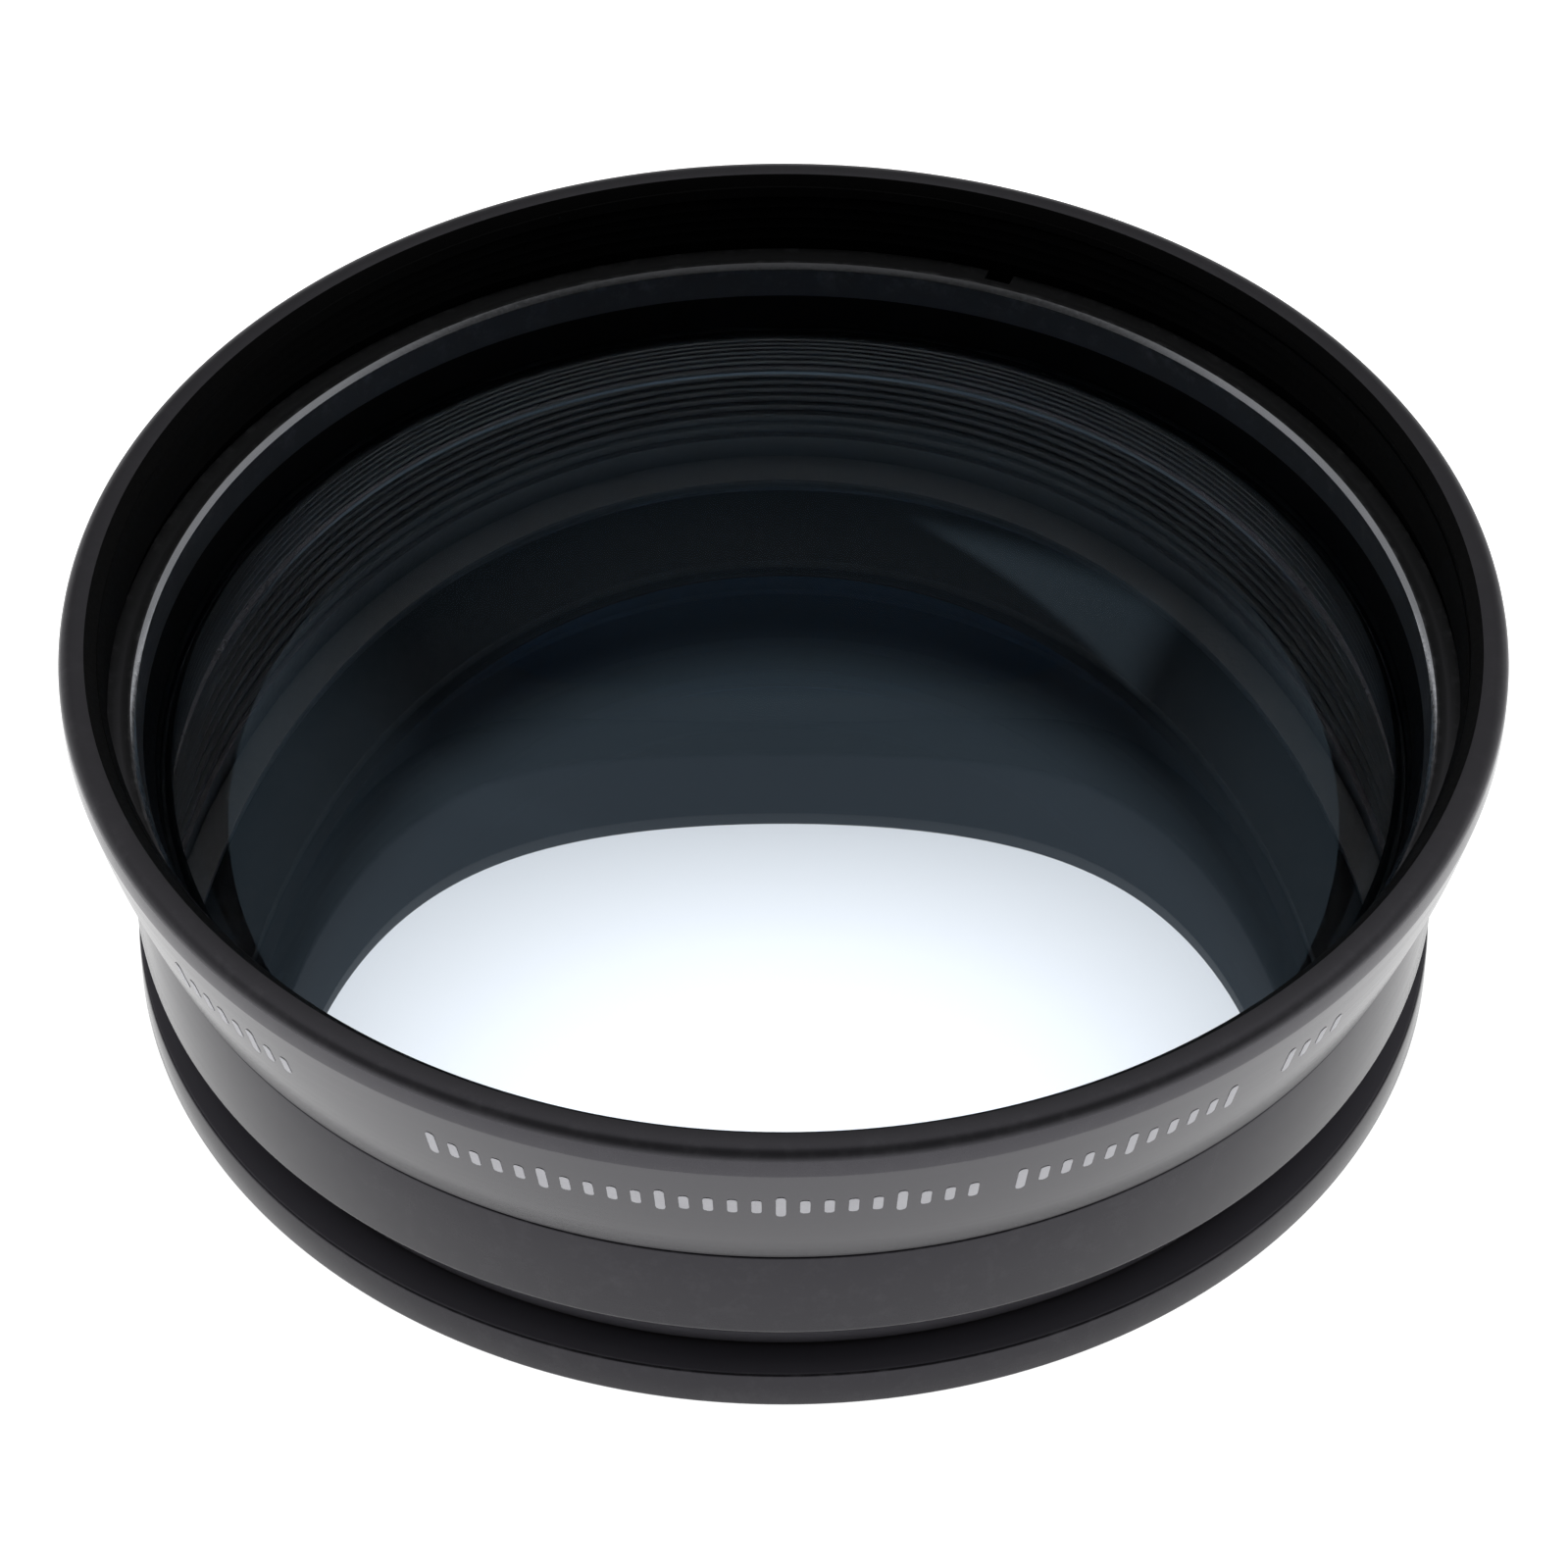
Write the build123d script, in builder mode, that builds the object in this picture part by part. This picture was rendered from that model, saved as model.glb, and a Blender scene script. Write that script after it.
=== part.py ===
from build123d import *
from math import sqrt
import os

os.makedirs("parts", exist_ok=True)

# A screw-in camera teleconverter, in millimetres. The optical axis is +Z and points out of the
# wide front end; the origin is at the centre of the thread collar's end, which it stands on.
# Radii grow outward from the rear lens and levels grow upward from the collar's end.

# Clearances
turned_gap = 0.1
glass_gap = 0.15
touch_gap = 0.03
cement_gap = 0.02
cut_overrun = 1.0

# Rear lens: hollow to the rear inside a flat ground margin
rear_glass_radius = 27.0
rear_front_curve_radius = 215.0
rear_back_curve_radius = 86.0
rear_thickness = 1.01
rear_margin_width = 4.0
glass_bevel = 0.15

# Threaded ring and cushion behind the rear lens
rear_ring_inset = 0.15
rear_ring_thickness = 0.7
rear_ring_cover = 0.4
rear_gasket_thickness = 0.34
rear_gasket_width = 3.5

# Mount ring: collar with the male thread, lens lip, flange and spigot
collar_wall = 1.85
lip_width = 0.83
lip_thickness = 0.35
ledge_width = 1.38
ledge_drop = 1.63
bore_foot_rise = 0.2
flange_height = 2.4
spigot_wall = 3.85
spigot_gap = 0.2

# Rear barrel: neck at the foot of the outer groove, shoulder and band
neck_wall = 1.5
groove_depth = 2.0
groove_height = 3.0
shoulder_thickness = 1.2
band_height = 6.0
band_wall = 1.0

# Stack clamped between the front barrel's skirt and the rear barrel's shoulder
mount_shim_thickness = 0.2
baffle_flange_thickness = 0.5
separation_shim_thickness = 0.3
skirt_thickness = 1.2

# Front group: a convex crown and a weak flint cemented behind it
seat_rise = 0.86
seat_width = 1.6
gasket_thickness = 0.3
crown_edge = 0.85
crown_front_curve_radius = 75.5
cement_curve_radius = 800.0
flint_edge = 1.16
flint_back_curve_radius = 672.0
flint_side_gap = 0.4

# Rings in front of the glass, and the rim round them
slip_ring_bearing_width = 0.9
slip_ring_height = 1.76
ring_flare = 1.1
ring_width = 1.5
ring_height = 1.85
rim_wall = 2.0
rim_height = 2.9
rim_above_glass = 0.65


def sagitta(curve, radius):
    # How far a ground face falls from its middle to a radius; all faces bulge to the front
    return curve - sqrt(curve * curve - radius * radius)


# Radii, from the rear lens outward
hollow_radius = rear_glass_radius - rear_margin_width
rear_bore_radius = rear_glass_radius + glass_gap
mount_thread_radius = rear_bore_radius + collar_wall
lip_radius = rear_glass_radius - lip_width
bore_foot_radius = lip_radius + ledge_width
spigot_radius = bore_foot_radius + spigot_wall
neck_bore_radius = spigot_radius + turned_gap
groove_radius = neck_bore_radius + neck_wall
band_radius = groove_radius + groove_depth
flange_radius = band_radius
band_bore_radius = band_radius - band_wall
skirt_radius = band_bore_radius - turned_gap
skirt_bore_radius = skirt_radius - skirt_thickness
flint_radius = skirt_bore_radius - flint_side_gap
crown_radius = skirt_bore_radius + seat_width
glass_bore_radius = crown_radius + glass_gap
clear_radius = crown_radius - slip_ring_bearing_width
ring_mouth_radius = clear_radius + ring_flare
accessory_thread_radius = ring_mouth_radius + ring_width
rim_radius = accessory_thread_radius + rim_wall

# Levels of the rear group and the mount ring
rear_ring_top = rear_ring_inset + rear_ring_thickness
rear_gasket_foot = rear_ring_top + touch_gap
rear_margin_level = rear_gasket_foot + rear_gasket_thickness + touch_gap
rear_back_apex = rear_margin_level + sagitta(rear_back_curve_radius, hollow_radius)
rear_apex = rear_back_apex + rear_thickness
lip_foot = rear_apex - sagitta(rear_front_curve_radius, lip_radius) + touch_gap
ledge_level = lip_foot + lip_thickness
flange_foot = ledge_level + ledge_drop
flange_face = flange_foot + flange_height
bore_foot_level = flange_foot + bore_foot_rise

# Levels of the barrels and what they clamp
neck_foot = flange_face + mount_shim_thickness + 2 * touch_gap
groove_top = flange_face + groove_height
band_top = groove_top + band_height
shoulder_level = groove_top + shoulder_thickness
spigot_top = shoulder_level - spigot_gap
baffle_flange_foot = shoulder_level + touch_gap
baffle_flange_top = baffle_flange_foot + baffle_flange_thickness
separation_shim_foot = baffle_flange_top + touch_gap
separation_shim_top = separation_shim_foot + separation_shim_thickness
skirt_foot = separation_shim_top + touch_gap
barrel_foot = band_top + turned_gap

# Levels of the front group, the rings and the rim
seat_level = band_top + seat_rise
crown_back_rim = seat_level + gasket_thickness
crown_back_apex = crown_back_rim + sagitta(cement_curve_radius, crown_radius)
crown_apex = crown_back_rim + crown_edge + sagitta(crown_front_curve_radius, crown_radius)
flint_apex = crown_back_apex - cement_gap
flint_back_rim = flint_apex - sagitta(cement_curve_radius, flint_radius) - flint_edge
flint_back_apex = flint_back_rim + sagitta(flint_back_curve_radius, flint_radius)
slip_ring_foot = crown_apex - sagitta(crown_front_curve_radius, clear_radius) + touch_gap
ring_foot = slip_ring_foot + slip_ring_height
ring_ledge = ring_foot + ring_height
rim_top = crown_apex + rim_above_glass
flare_top = rim_top - rim_height


def ground_glass(front_apex, front_curve, back_apex, back_curve, radius, back_radius):
    # A lens between two ground faces; outside its back radius the back is a flat margin
    front_middle = (radius / 2, front_apex - sagitta(front_curve, radius / 2))
    front_rim = (radius, front_apex - sagitta(front_curve, radius))
    back_middle = (back_radius / 2, back_apex - sagitta(back_curve, back_radius / 2))
    back_rim = (back_radius, back_apex - sagitta(back_curve, back_radius))
    with BuildPart() as glass:
        with BuildSketch(Plane.XZ):
            with BuildLine():
                ThreePointArc((0, front_apex), front_middle, front_rim)
                Line(front_rim, (radius, back_rim[1]))
                if back_radius < radius:
                    Line((radius, back_rim[1]), back_rim)
                ThreePointArc(back_rim, back_middle, (0, back_apex))
                Line((0, back_apex), (0, front_apex))
            make_face()
        revolve(axis=Axis.Z)
        rim_circles = glass.edges().filter_by(Plane.XY).group_by(SortBy.RADIUS)[-1]
        chamfer(rim_circles, glass_bevel)
    return glass


front_crown = ground_glass(
    crown_apex,
    crown_front_curve_radius,
    crown_back_apex,
    cement_curve_radius,
    crown_radius,
    crown_radius,
)
front_crown.part.label = "front_crown_element"
export_step(front_crown.part, "parts/front_crown_element.step")

front_flint = ground_glass(
    flint_apex,
    cement_curve_radius,
    flint_back_apex,
    flint_back_curve_radius,
    flint_radius,
    flint_radius,
)
front_flint.part.label = "front_flint_element"
export_step(front_flint.part, "parts/front_flint_element.step")

rear_lens = ground_glass(
    rear_apex,
    rear_front_curve_radius,
    rear_back_apex,
    rear_back_curve_radius,
    rear_glass_radius,
    hollow_radius,
)
rear_lens.part.label = "rear_element"
export_step(rear_lens.part, "parts/rear_element.step")

# Front barrel: rim and mouth, flared band, seat for the glass and a skirt that screws down
# into the rear barrel
rim_rounding = 0.9
mouth_chamfer = 0.6
flare_step = 0.15
flare_bulge_depth = 0.4
skirt_chamfer = 0.3
seal_groove_height = 0.8
seal_groove_depth = 0.7
seal_groove_drop = 0.5

seal_groove_top = barrel_foot - seal_groove_drop
seal_groove_foot = seal_groove_top - seal_groove_height
flare_foot_radius = band_radius + flare_step

with BuildPart() as front_barrel:
    with BuildSketch(Plane.XZ):
        with BuildLine():
            outline = Polyline(
                (flare_foot_radius, barrel_foot),
                (skirt_radius, barrel_foot),
                (skirt_radius, seal_groove_top),
                (skirt_radius - seal_groove_depth, seal_groove_top),
                (skirt_radius - seal_groove_depth, seal_groove_foot),
                (skirt_radius, seal_groove_foot),
                (skirt_radius, skirt_foot),
                (skirt_bore_radius, skirt_foot),
                (skirt_bore_radius, seat_level),
                (glass_bore_radius, seat_level),
                (glass_bore_radius, ring_foot),
                (accessory_thread_radius, ring_foot),
                (accessory_thread_radius, rim_top),
                (rim_radius, rim_top),
                (rim_radius, flare_top),
            )
            flare_middle = (outline @ 0 + outline @ 1) / 2
            ThreePointArc(outline @ 1, flare_middle + Vector(flare_bulge_depth, 0), outline @ 0)
        make_face()
    revolve(axis=Axis.Z)
    rim_edges = front_barrel.edges().filter_by(Plane.XY).group_by(Axis.Z)[-1]
    fillet(rim_edges.sort_by(SortBy.RADIUS)[-1], rim_rounding)
    mouth_edges = front_barrel.edges().filter_by(Plane.XY).group_by(Axis.Z)[-1]
    chamfer(mouth_edges.sort_by(SortBy.RADIUS)[0], mouth_chamfer)
    skirt_edges = front_barrel.edges().filter_by(Plane.XY).group_by(Axis.Z)[0]
    chamfer(skirt_edges.sort_by(SortBy.RADIUS)[-1], skirt_chamfer)
front_barrel.part.label = "front_barrel"
export_step(front_barrel.part, "parts/front_barrel.step")

# Front retaining ring, with a raised lip round its mouth and two spanner slots
ring_lip_rise = 0.1
ring_lip_width = 0.2
spanner_slot_count = 2
spanner_slot_width = 1.5
spanner_slot_length = 0.8
spanner_slot_depth = 0.8
spanner_slot_angle = 70

ring_radius = accessory_thread_radius - turned_gap
flare_share = slip_ring_height / (slip_ring_height + ring_height)
ring_waist_radius = clear_radius + ring_flare * flare_share

with BuildPart() as front_ring:
    with BuildSketch(Plane.XZ):
        with BuildLine():
            Polyline(
                (ring_radius, ring_foot),
                (ring_radius, ring_ledge),
                (ring_mouth_radius + ring_lip_width + ring_lip_rise, ring_ledge),
                (ring_mouth_radius + ring_lip_width, ring_ledge + ring_lip_rise),
                (ring_mouth_radius, ring_ledge + ring_lip_rise),
                (ring_waist_radius, ring_foot),
                close=True,
            )
        make_face()
    revolve(axis=Axis.Z)
    with BuildSketch(Plane.XY.offset(ring_ledge - spanner_slot_depth)):
        with PolarLocations(
            ring_radius - spanner_slot_length,
            spanner_slot_count,
            start_angle=spanner_slot_angle,
        ):
            Rectangle(
                spanner_slot_length + cut_overrun,
                spanner_slot_width,
                align=(Align.MIN, Align.CENTER),
            )
    extrude(amount=spanner_slot_depth + cut_overrun, mode=Mode.SUBTRACT)
front_ring.part.label = "front_retaining_ring"
export_step(front_ring.part, "parts/front_retaining_ring.step")

with BuildPart() as slip_ring:
    with BuildSketch(Plane.XZ):
        with BuildLine():
            Polyline(
                (clear_radius, slip_ring_foot),
                (ring_waist_radius, ring_foot),
                (crown_radius, ring_foot),
                (crown_radius, crown_back_rim + crown_edge + touch_gap),
                close=True,
            )
        make_face()
    revolve(axis=Axis.Z)
slip_ring.part.label = "front_slip_ring"
export_step(slip_ring.part, "parts/front_slip_ring.step")

# Cushion between the crown's edge and its seat
gasket_inner_radius = skirt_bore_radius + glass_gap
gasket_top = crown_back_apex - sagitta(cement_curve_radius, gasket_inner_radius) - touch_gap

with BuildPart() as front_gasket:
    with BuildSketch(Plane.XZ):
        with BuildLine():
            Polyline(
                (gasket_inner_radius, seat_level),
                (crown_radius, seat_level),
                (crown_radius, crown_back_rim - touch_gap),
                (gasket_inner_radius, gasket_top),
                close=True,
            )
        make_face()
    revolve(axis=Axis.Z)
front_gasket.part.label = "front_lens_gasket"
export_step(front_gasket.part, "parts/front_lens_gasket.step")

# Rear barrel, with clearance holes for the grub screws through its neck
barrel_chamfer = 0.25
bore_lead_in = 0.3
grub_count = 3
grub_angle = 90
grub_radius = 0.8

grub_level = flange_face + groove_height / 2


def radial_planes(radius):
    # One plane per grub screw, at a radius and facing outward
    places = PolarLocations(0, grub_count, start_angle=grub_angle).locations
    return [Plane(place * Location((radius, 0, grub_level), (0, 90, 0))) for place in places]


with BuildPart() as rear_barrel:
    with BuildSketch(Plane.XZ):
        with BuildLine():
            Polyline(
                (neck_bore_radius, neck_foot),
                (groove_radius, neck_foot),
                (groove_radius, groove_top),
                (band_radius, groove_top),
                (band_radius, band_top),
                (band_bore_radius, band_top),
                (band_bore_radius, shoulder_level),
                (neck_bore_radius, shoulder_level),
                close=True,
            )
        make_face()
    revolve(axis=Axis.Z)
    chamfer(
        rear_barrel.edges().filter_by(GeomType.CIRCLE).group_by(SortBy.RADIUS)[-1],
        barrel_chamfer,
    )
    top_edges = rear_barrel.edges().filter_by(Plane.XY).group_by(Axis.Z)[-1]
    chamfer(top_edges.sort_by(SortBy.RADIUS)[0], bore_lead_in)
    with BuildSketch(*radial_planes(groove_radius + cut_overrun)):
        Circle(grub_radius + touch_gap)
    extrude(amount=neck_bore_radius - groove_radius - 2 * cut_overrun, mode=Mode.SUBTRACT)
rear_barrel.part.label = "rear_barrel"
export_step(rear_barrel.part, "parts/rear_barrel.step")

# Round seal in the groove of the front barrel's skirt
seal_section_radius = 0.38

seal_centre_radius = band_bore_radius - touch_gap - seal_section_radius
with BuildPart() as joint_seal:
    with BuildSketch(Plane.XZ):
        with Locations((seal_centre_radius, (seal_groove_top + seal_groove_foot) / 2)):
            Circle(seal_section_radius)
    revolve(axis=Axis.Z)
joint_seal.part.label = "joint_seal_ring"
export_step(joint_seal.part, "parts/joint_seal_ring.step")

with BuildPart() as separation_shim:
    with BuildSketch(Plane.XY.offset(separation_shim_foot)):
        Circle(skirt_radius)
        Circle(skirt_bore_radius + turned_gap, mode=Mode.SUBTRACT)
    extrude(amount=separation_shim_thickness)
separation_shim.part.label = "separation_shim"
export_step(separation_shim.part, "parts/separation_shim.step")

shim_inset = 0.4

with BuildPart() as mount_shim:
    with BuildSketch(Plane.XY.offset(flange_face + touch_gap)):
        Circle(groove_radius - shim_inset)
        Circle(neck_bore_radius + turned_gap, mode=Mode.SUBTRACT)
    extrude(amount=mount_shim_thickness)
mount_shim.part.label = "mount_shim"
export_step(mount_shim.part, "parts/mount_shim.step")


def stepped_wall(top_radius, top_level, foot_radius, foot_level, steps):
    # Points of a light-trapping wall: upright risers joined by level treads, from the top down
    tread = (top_radius - foot_radius) / steps
    riser = (top_level - foot_level) / steps
    points = []
    for step in range(steps):
        radius = top_radius - step * tread
        points.append((radius, top_level - step * riser))
        points.append((radius, top_level - (step + 1) * riser))
    return points


# Light baffle between the lens groups, hung by its flange between the barrels
baffle_glass_gap = 0.3
baffle_side_gap = 0.3
baffle_spread = 4.05
baffle_steps = 6
bore_steps = 8

baffle_top = flint_back_rim - baffle_glass_gap
baffle_mouth_radius = bore_foot_radius + baffle_spread
wall_slope = (baffle_mouth_radius - bore_foot_radius) / (baffle_top - bore_foot_level)
baffle_foot_radius = baffle_mouth_radius - wall_slope * (baffle_top - baffle_flange_foot)

with BuildPart() as baffle:
    with BuildSketch(Plane.XZ):
        with BuildLine():
            Polyline(
                *stepped_wall(
                    baffle_mouth_radius,
                    baffle_top,
                    baffle_foot_radius,
                    baffle_flange_foot,
                    baffle_steps,
                ),
                (skirt_radius, baffle_flange_foot),
                (skirt_radius, baffle_flange_top),
                (skirt_bore_radius - baffle_side_gap, baffle_flange_top),
                (skirt_bore_radius - baffle_side_gap, baffle_top),
                close=True,
            )
        make_face()
    revolve(axis=Axis.Z)
baffle.part.label = "baffle_cone"
export_step(baffle.part, "parts/baffle_cone.step")

# Mount ring: flange, spigot inside the neck, lens seat and male thread collar
lock_groove_depth = 0.6
thread_relief_depth = 0.5
thread_relief_height = 0.6
seat_undercut = 0.2
flange_chamfer = 0.2
collar_chamfer = 0.4

bore_top_radius = baffle_mouth_radius - wall_slope * (baffle_top - spigot_top)
relief_foot = flange_foot - thread_relief_height
relief_radius = mount_thread_radius - thread_relief_depth

with BuildPart() as mount_ring:
    with BuildSketch(Plane.XZ):
        with BuildLine():
            Polyline(
                *stepped_wall(
                    bore_top_radius, spigot_top, bore_foot_radius, bore_foot_level, bore_steps
                ),
                (bore_foot_radius, bore_foot_level),
                (bore_foot_radius, ledge_level),
                (lip_radius, ledge_level),
                (lip_radius, lip_foot),
                (rear_bore_radius, lip_foot),
                (rear_bore_radius, 0),
                (mount_thread_radius, 0),
                (mount_thread_radius, relief_foot),
                (relief_radius, relief_foot),
                (relief_radius, flange_foot + seat_undercut),
                (mount_thread_radius + turned_gap, flange_foot + seat_undercut),
                (mount_thread_radius + turned_gap, flange_foot),
                (flange_radius, flange_foot),
                (flange_radius, flange_face),
                (spigot_radius, flange_face),
                (spigot_radius, grub_level - lock_groove_depth),
                (spigot_radius - lock_groove_depth, grub_level),
                (spigot_radius, grub_level + lock_groove_depth),
                (spigot_radius, spigot_top),
                close=True,
            )
        make_face()
    revolve(axis=Axis.Z)
    flange_edges = mount_ring.edges().filter_by(GeomType.CIRCLE)
    chamfer(flange_edges.group_by(SortBy.RADIUS)[-1], flange_chamfer)
    collar_edges = mount_ring.edges().filter_by(Plane.XY).group_by(Axis.Z)[0]
    chamfer(collar_edges.sort_by(SortBy.RADIUS)[-1], collar_chamfer)
mount_ring.part.label = "mount_ring"
export_step(mount_ring.part, "parts/mount_ring.step")

# Mask washer on the ledge in front of the rear lens
stop_thickness = 0.2
stop_inset = 0.05

with BuildPart() as light_stop:
    with BuildSketch(Plane.XY.offset(ledge_level + touch_gap)):
        Circle(bore_foot_radius - turned_gap)
        Circle(lip_radius - stop_inset, mode=Mode.SUBTRACT)
    extrude(amount=stop_thickness)
light_stop.part.label = "rear_light_stop"
export_step(light_stop.part, "parts/rear_light_stop.step")

with BuildPart() as rear_gasket:
    with BuildSketch(Plane.XY.offset(rear_gasket_foot)):
        Circle(rear_glass_radius)
        Circle(rear_glass_radius - rear_gasket_width, mode=Mode.SUBTRACT)
    extrude(amount=rear_gasket_thickness)
rear_gasket.part.label = "rear_lens_gasket"
export_step(rear_gasket.part, "parts/rear_lens_gasket.step")

# Threaded ring behind the rear lens, with two spanner slots
rear_slot_length = 1.6
rear_slot_depth = 0.4
rear_slot_angle = 0
rear_mouth_chamfer = 0.15

rear_ring_radius = rear_bore_radius - turned_gap
rear_ring_opening = hollow_radius - rear_ring_cover

with BuildPart() as rear_ring:
    with BuildSketch(Plane.XY.offset(rear_ring_inset)):
        Circle(rear_ring_radius)
        Circle(rear_ring_opening, mode=Mode.SUBTRACT)
    extrude(amount=rear_ring_thickness)
    with BuildSketch(Plane.XY.offset(rear_ring_inset + rear_slot_depth)):
        with PolarLocations(
            rear_ring_radius - rear_slot_length,
            spanner_slot_count,
            start_angle=rear_slot_angle,
        ):
            Rectangle(
                rear_slot_length + cut_overrun,
                spanner_slot_width,
                align=(Align.MIN, Align.CENTER),
            )
    extrude(amount=-rear_slot_depth - cut_overrun, mode=Mode.SUBTRACT)
    rear_circles = rear_ring.edges().filter_by(GeomType.CIRCLE).group_by(Axis.Z)[0]
    chamfer(rear_circles.sort_by(SortBy.RADIUS)[0], rear_mouth_chamfer)
rear_ring.part.label = "rear_retaining_ring"
export_step(rear_ring.part, "parts/rear_retaining_ring.step")

# Grub screws through the neck, with their points in the spigot's lock groove
grub_point = 0.45
grub_sink = 0.2
socket_width = 0.7
socket_depth = 0.7

grub_foot_radius = spigot_radius - lock_groove_depth + grub_radius - grub_point + 2 * touch_gap
grub_length = groove_radius - grub_sink - grub_foot_radius

with BuildPart() as grub_screws:
    with BuildSketch(*radial_planes(grub_foot_radius)):
        Circle(grub_radius)
    extrude(amount=grub_length)
    end_edges = grub_screws.edges().filter_by(GeomType.CIRCLE)
    chamfer(end_edges.sort_by_distance((0, 0, grub_level))[:grub_count], grub_point)
    with BuildSketch(*radial_planes(grub_foot_radius + grub_length)):
        RegularPolygon(socket_width / 2, 6, major_radius=False)
    extrude(amount=-socket_depth, mode=Mode.SUBTRACT)
grub_screws.part.label = "mount_grub_screws"
export_step(grub_screws.part, "parts/mount_grub_screws.step")
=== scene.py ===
import bpy
import bmesh
import math
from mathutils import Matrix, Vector


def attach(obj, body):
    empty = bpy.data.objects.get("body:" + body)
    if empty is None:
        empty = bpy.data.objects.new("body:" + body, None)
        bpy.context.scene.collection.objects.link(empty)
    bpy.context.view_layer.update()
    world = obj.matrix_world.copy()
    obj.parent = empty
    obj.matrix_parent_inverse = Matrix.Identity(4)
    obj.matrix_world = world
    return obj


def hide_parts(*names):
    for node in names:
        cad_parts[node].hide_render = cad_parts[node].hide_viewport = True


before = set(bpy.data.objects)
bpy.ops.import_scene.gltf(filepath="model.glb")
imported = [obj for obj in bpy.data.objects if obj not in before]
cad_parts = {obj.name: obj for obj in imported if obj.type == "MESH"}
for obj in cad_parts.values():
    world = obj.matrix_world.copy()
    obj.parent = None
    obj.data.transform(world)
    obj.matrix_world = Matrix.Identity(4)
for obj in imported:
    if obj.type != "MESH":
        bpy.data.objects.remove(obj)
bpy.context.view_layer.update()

mm = 0.001
roundSegments = 288
wearName = "wear"
noiseMiddle = (0.3, 0.7)  # where most of a noise's values lie


# Meshes turned about the optical axis

def softCorners(points, arcSteps=4):
    # points are (radius, height) or (radius, height, rounding); a rounding gives a worn arc
    path = []
    count = len(points)
    for index, point in enumerate(points):
        rounding = point[2] if len(point) > 2 else 0
        here = Vector(point[:2])
        if rounding <= 0:
            path.append((here.x, here.y, 0.0))
            continue
        before = Vector(points[index - 1][:2]) - here
        after = Vector(points[(index + 1) % count][:2]) - here
        halfTurn = before.angle(after) / 2
        reach = rounding / math.tan(halfTurn)
        reach = min(reach, before.length * 0.49, after.length * 0.49)
        radius = reach * math.tan(halfTurn)
        centre = here + (before.normalized() + after.normalized()).normalized() * (
            radius / math.sin(halfTurn))
        start = here + before.normalized() * reach - centre
        end = here + after.normalized() * reach - centre
        sweep = start.angle_signed(end)
        for step in range(arcSteps + 1):
            angle = -sweep * step / arcSteps
            spoke = Vector((start.x * math.cos(angle) - start.y * math.sin(angle),
                            start.x * math.sin(angle) + start.y * math.cos(angle)))
            worn = 1.0 if 0 < step < arcSteps else 0.4
            path.append((centre.x + spoke.x, centre.y + spoke.y, worn))
    return path


def addPiece(name, mesh):
    piece = bpy.data.objects.new(name, mesh)
    bpy.context.scene.collection.objects.link(piece)
    return piece


def finishMesh(name, verts, faces, materials, faceMaterials, wear, sharpAngle=32):
    mesh = bpy.data.meshes.new(name)
    mesh.from_pydata([Vector(v) * mm for v in verts], [], faces)
    for material in materials:
        mesh.materials.append(material)
    mesh.polygons.foreach_set("material_index", faceMaterials)
    mesh.polygons.foreach_set("use_smooth", [True] * len(faces))
    mesh.attributes.new(wearName, "FLOAT", "POINT").data.foreach_set("value", wear)
    mesh.validate()
    mesh.update()
    mesh.set_sharp_from_angle(angle=math.radians(sharpAngle))
    return addPiece(name, mesh)


def turned(name, path, materials, spans=None, segments=roundSegments, slots=None):
    # path runs anticlockwise in (radius, height) with the metal on its left;
    # spans gives the material of each path edge; slots is (angles, half width, drop path)
    verts, wear, rows = [], [], []
    columns = [(2 * math.pi * k / segments, 0) for k in range(segments)]
    if slots:
        slotAngles, slotHalf, slotPath = slots
        columns = slotColumns(segments, slotAngles, slotHalf)
    for angle, inSlot in columns:
        row = []
        for k, (radius, height, worn) in enumerate(path):
            if inSlot:
                radius, height, worn = slotPath[k]
            if radius < 1e-9:
                row.append(None)
                continue
            row.append(len(verts))
            verts.append((radius * math.cos(angle), radius * math.sin(angle), height))
            wear.append(worn)
        rows.append(row)
    poles = {}
    for k, (radius, height, worn) in enumerate(path):
        if radius < 1e-9:
            poles[k] = len(verts)
            verts.append((0, 0, height))
            wear.append(0.0)
    faces, faceMaterials = [], []
    edgeCount = len(path) - 1 if poles else len(path)
    for c in range(len(columns)):
        left, right = rows[c], rows[(c + 1) % len(columns)]
        for k in range(edgeCount):
            nextK = (k + 1) % len(path)
            corners = [left[k], right[k], right[nextK], left[nextK]]
            if k in poles:
                corners = [poles[k], right[nextK], left[nextK]]
            elif nextK in poles:
                corners = [left[k], right[k], poles[nextK]]
            faces.append(corners)
            faceMaterials.append(spans[k] if spans else 0)
    return finishMesh(name, verts, faces, materials, faceMaterials, wear)


def slotColumns(segments, slotAngles, slotHalf):
    # Evenly spaced columns, with doubled ones at the walls of each slot
    columns = []
    margin = 0.004
    lean = 0.0008
    walls = [(centre - slotHalf, centre + slotHalf) for centre in slotAngles]
    for k in range(segments):
        angle = 2 * math.pi * (k + 0.5) / segments
        if not any(low - margin < angle < high + margin for low, high in walls):
            columns.append((angle, 0))
    for low, high in walls:
        columns += [(low, 0), (low + lean, 1), ((low + high) / 2, 1), (high - lean, 1), (high, 0)]
    return sorted(columns)


def finishSpans(path, finishAt):
    # The material number that finishAt gives for the middle of each path edge
    spans = []
    for k, (radius, height, worn) in enumerate(path):
        nextRadius, nextHeight, nextWorn = path[(k + 1) % len(path)]
        spans.append(int(finishAt((radius + nextRadius) / 2, (height + nextHeight) / 2)))
    return spans


def adopt(piece, slotName, *nodes):
    if nodes:
        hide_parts(*nodes)
    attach(piece, "root")
    return piece


# Geometry Nodes for what repeats or follows a path

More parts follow.
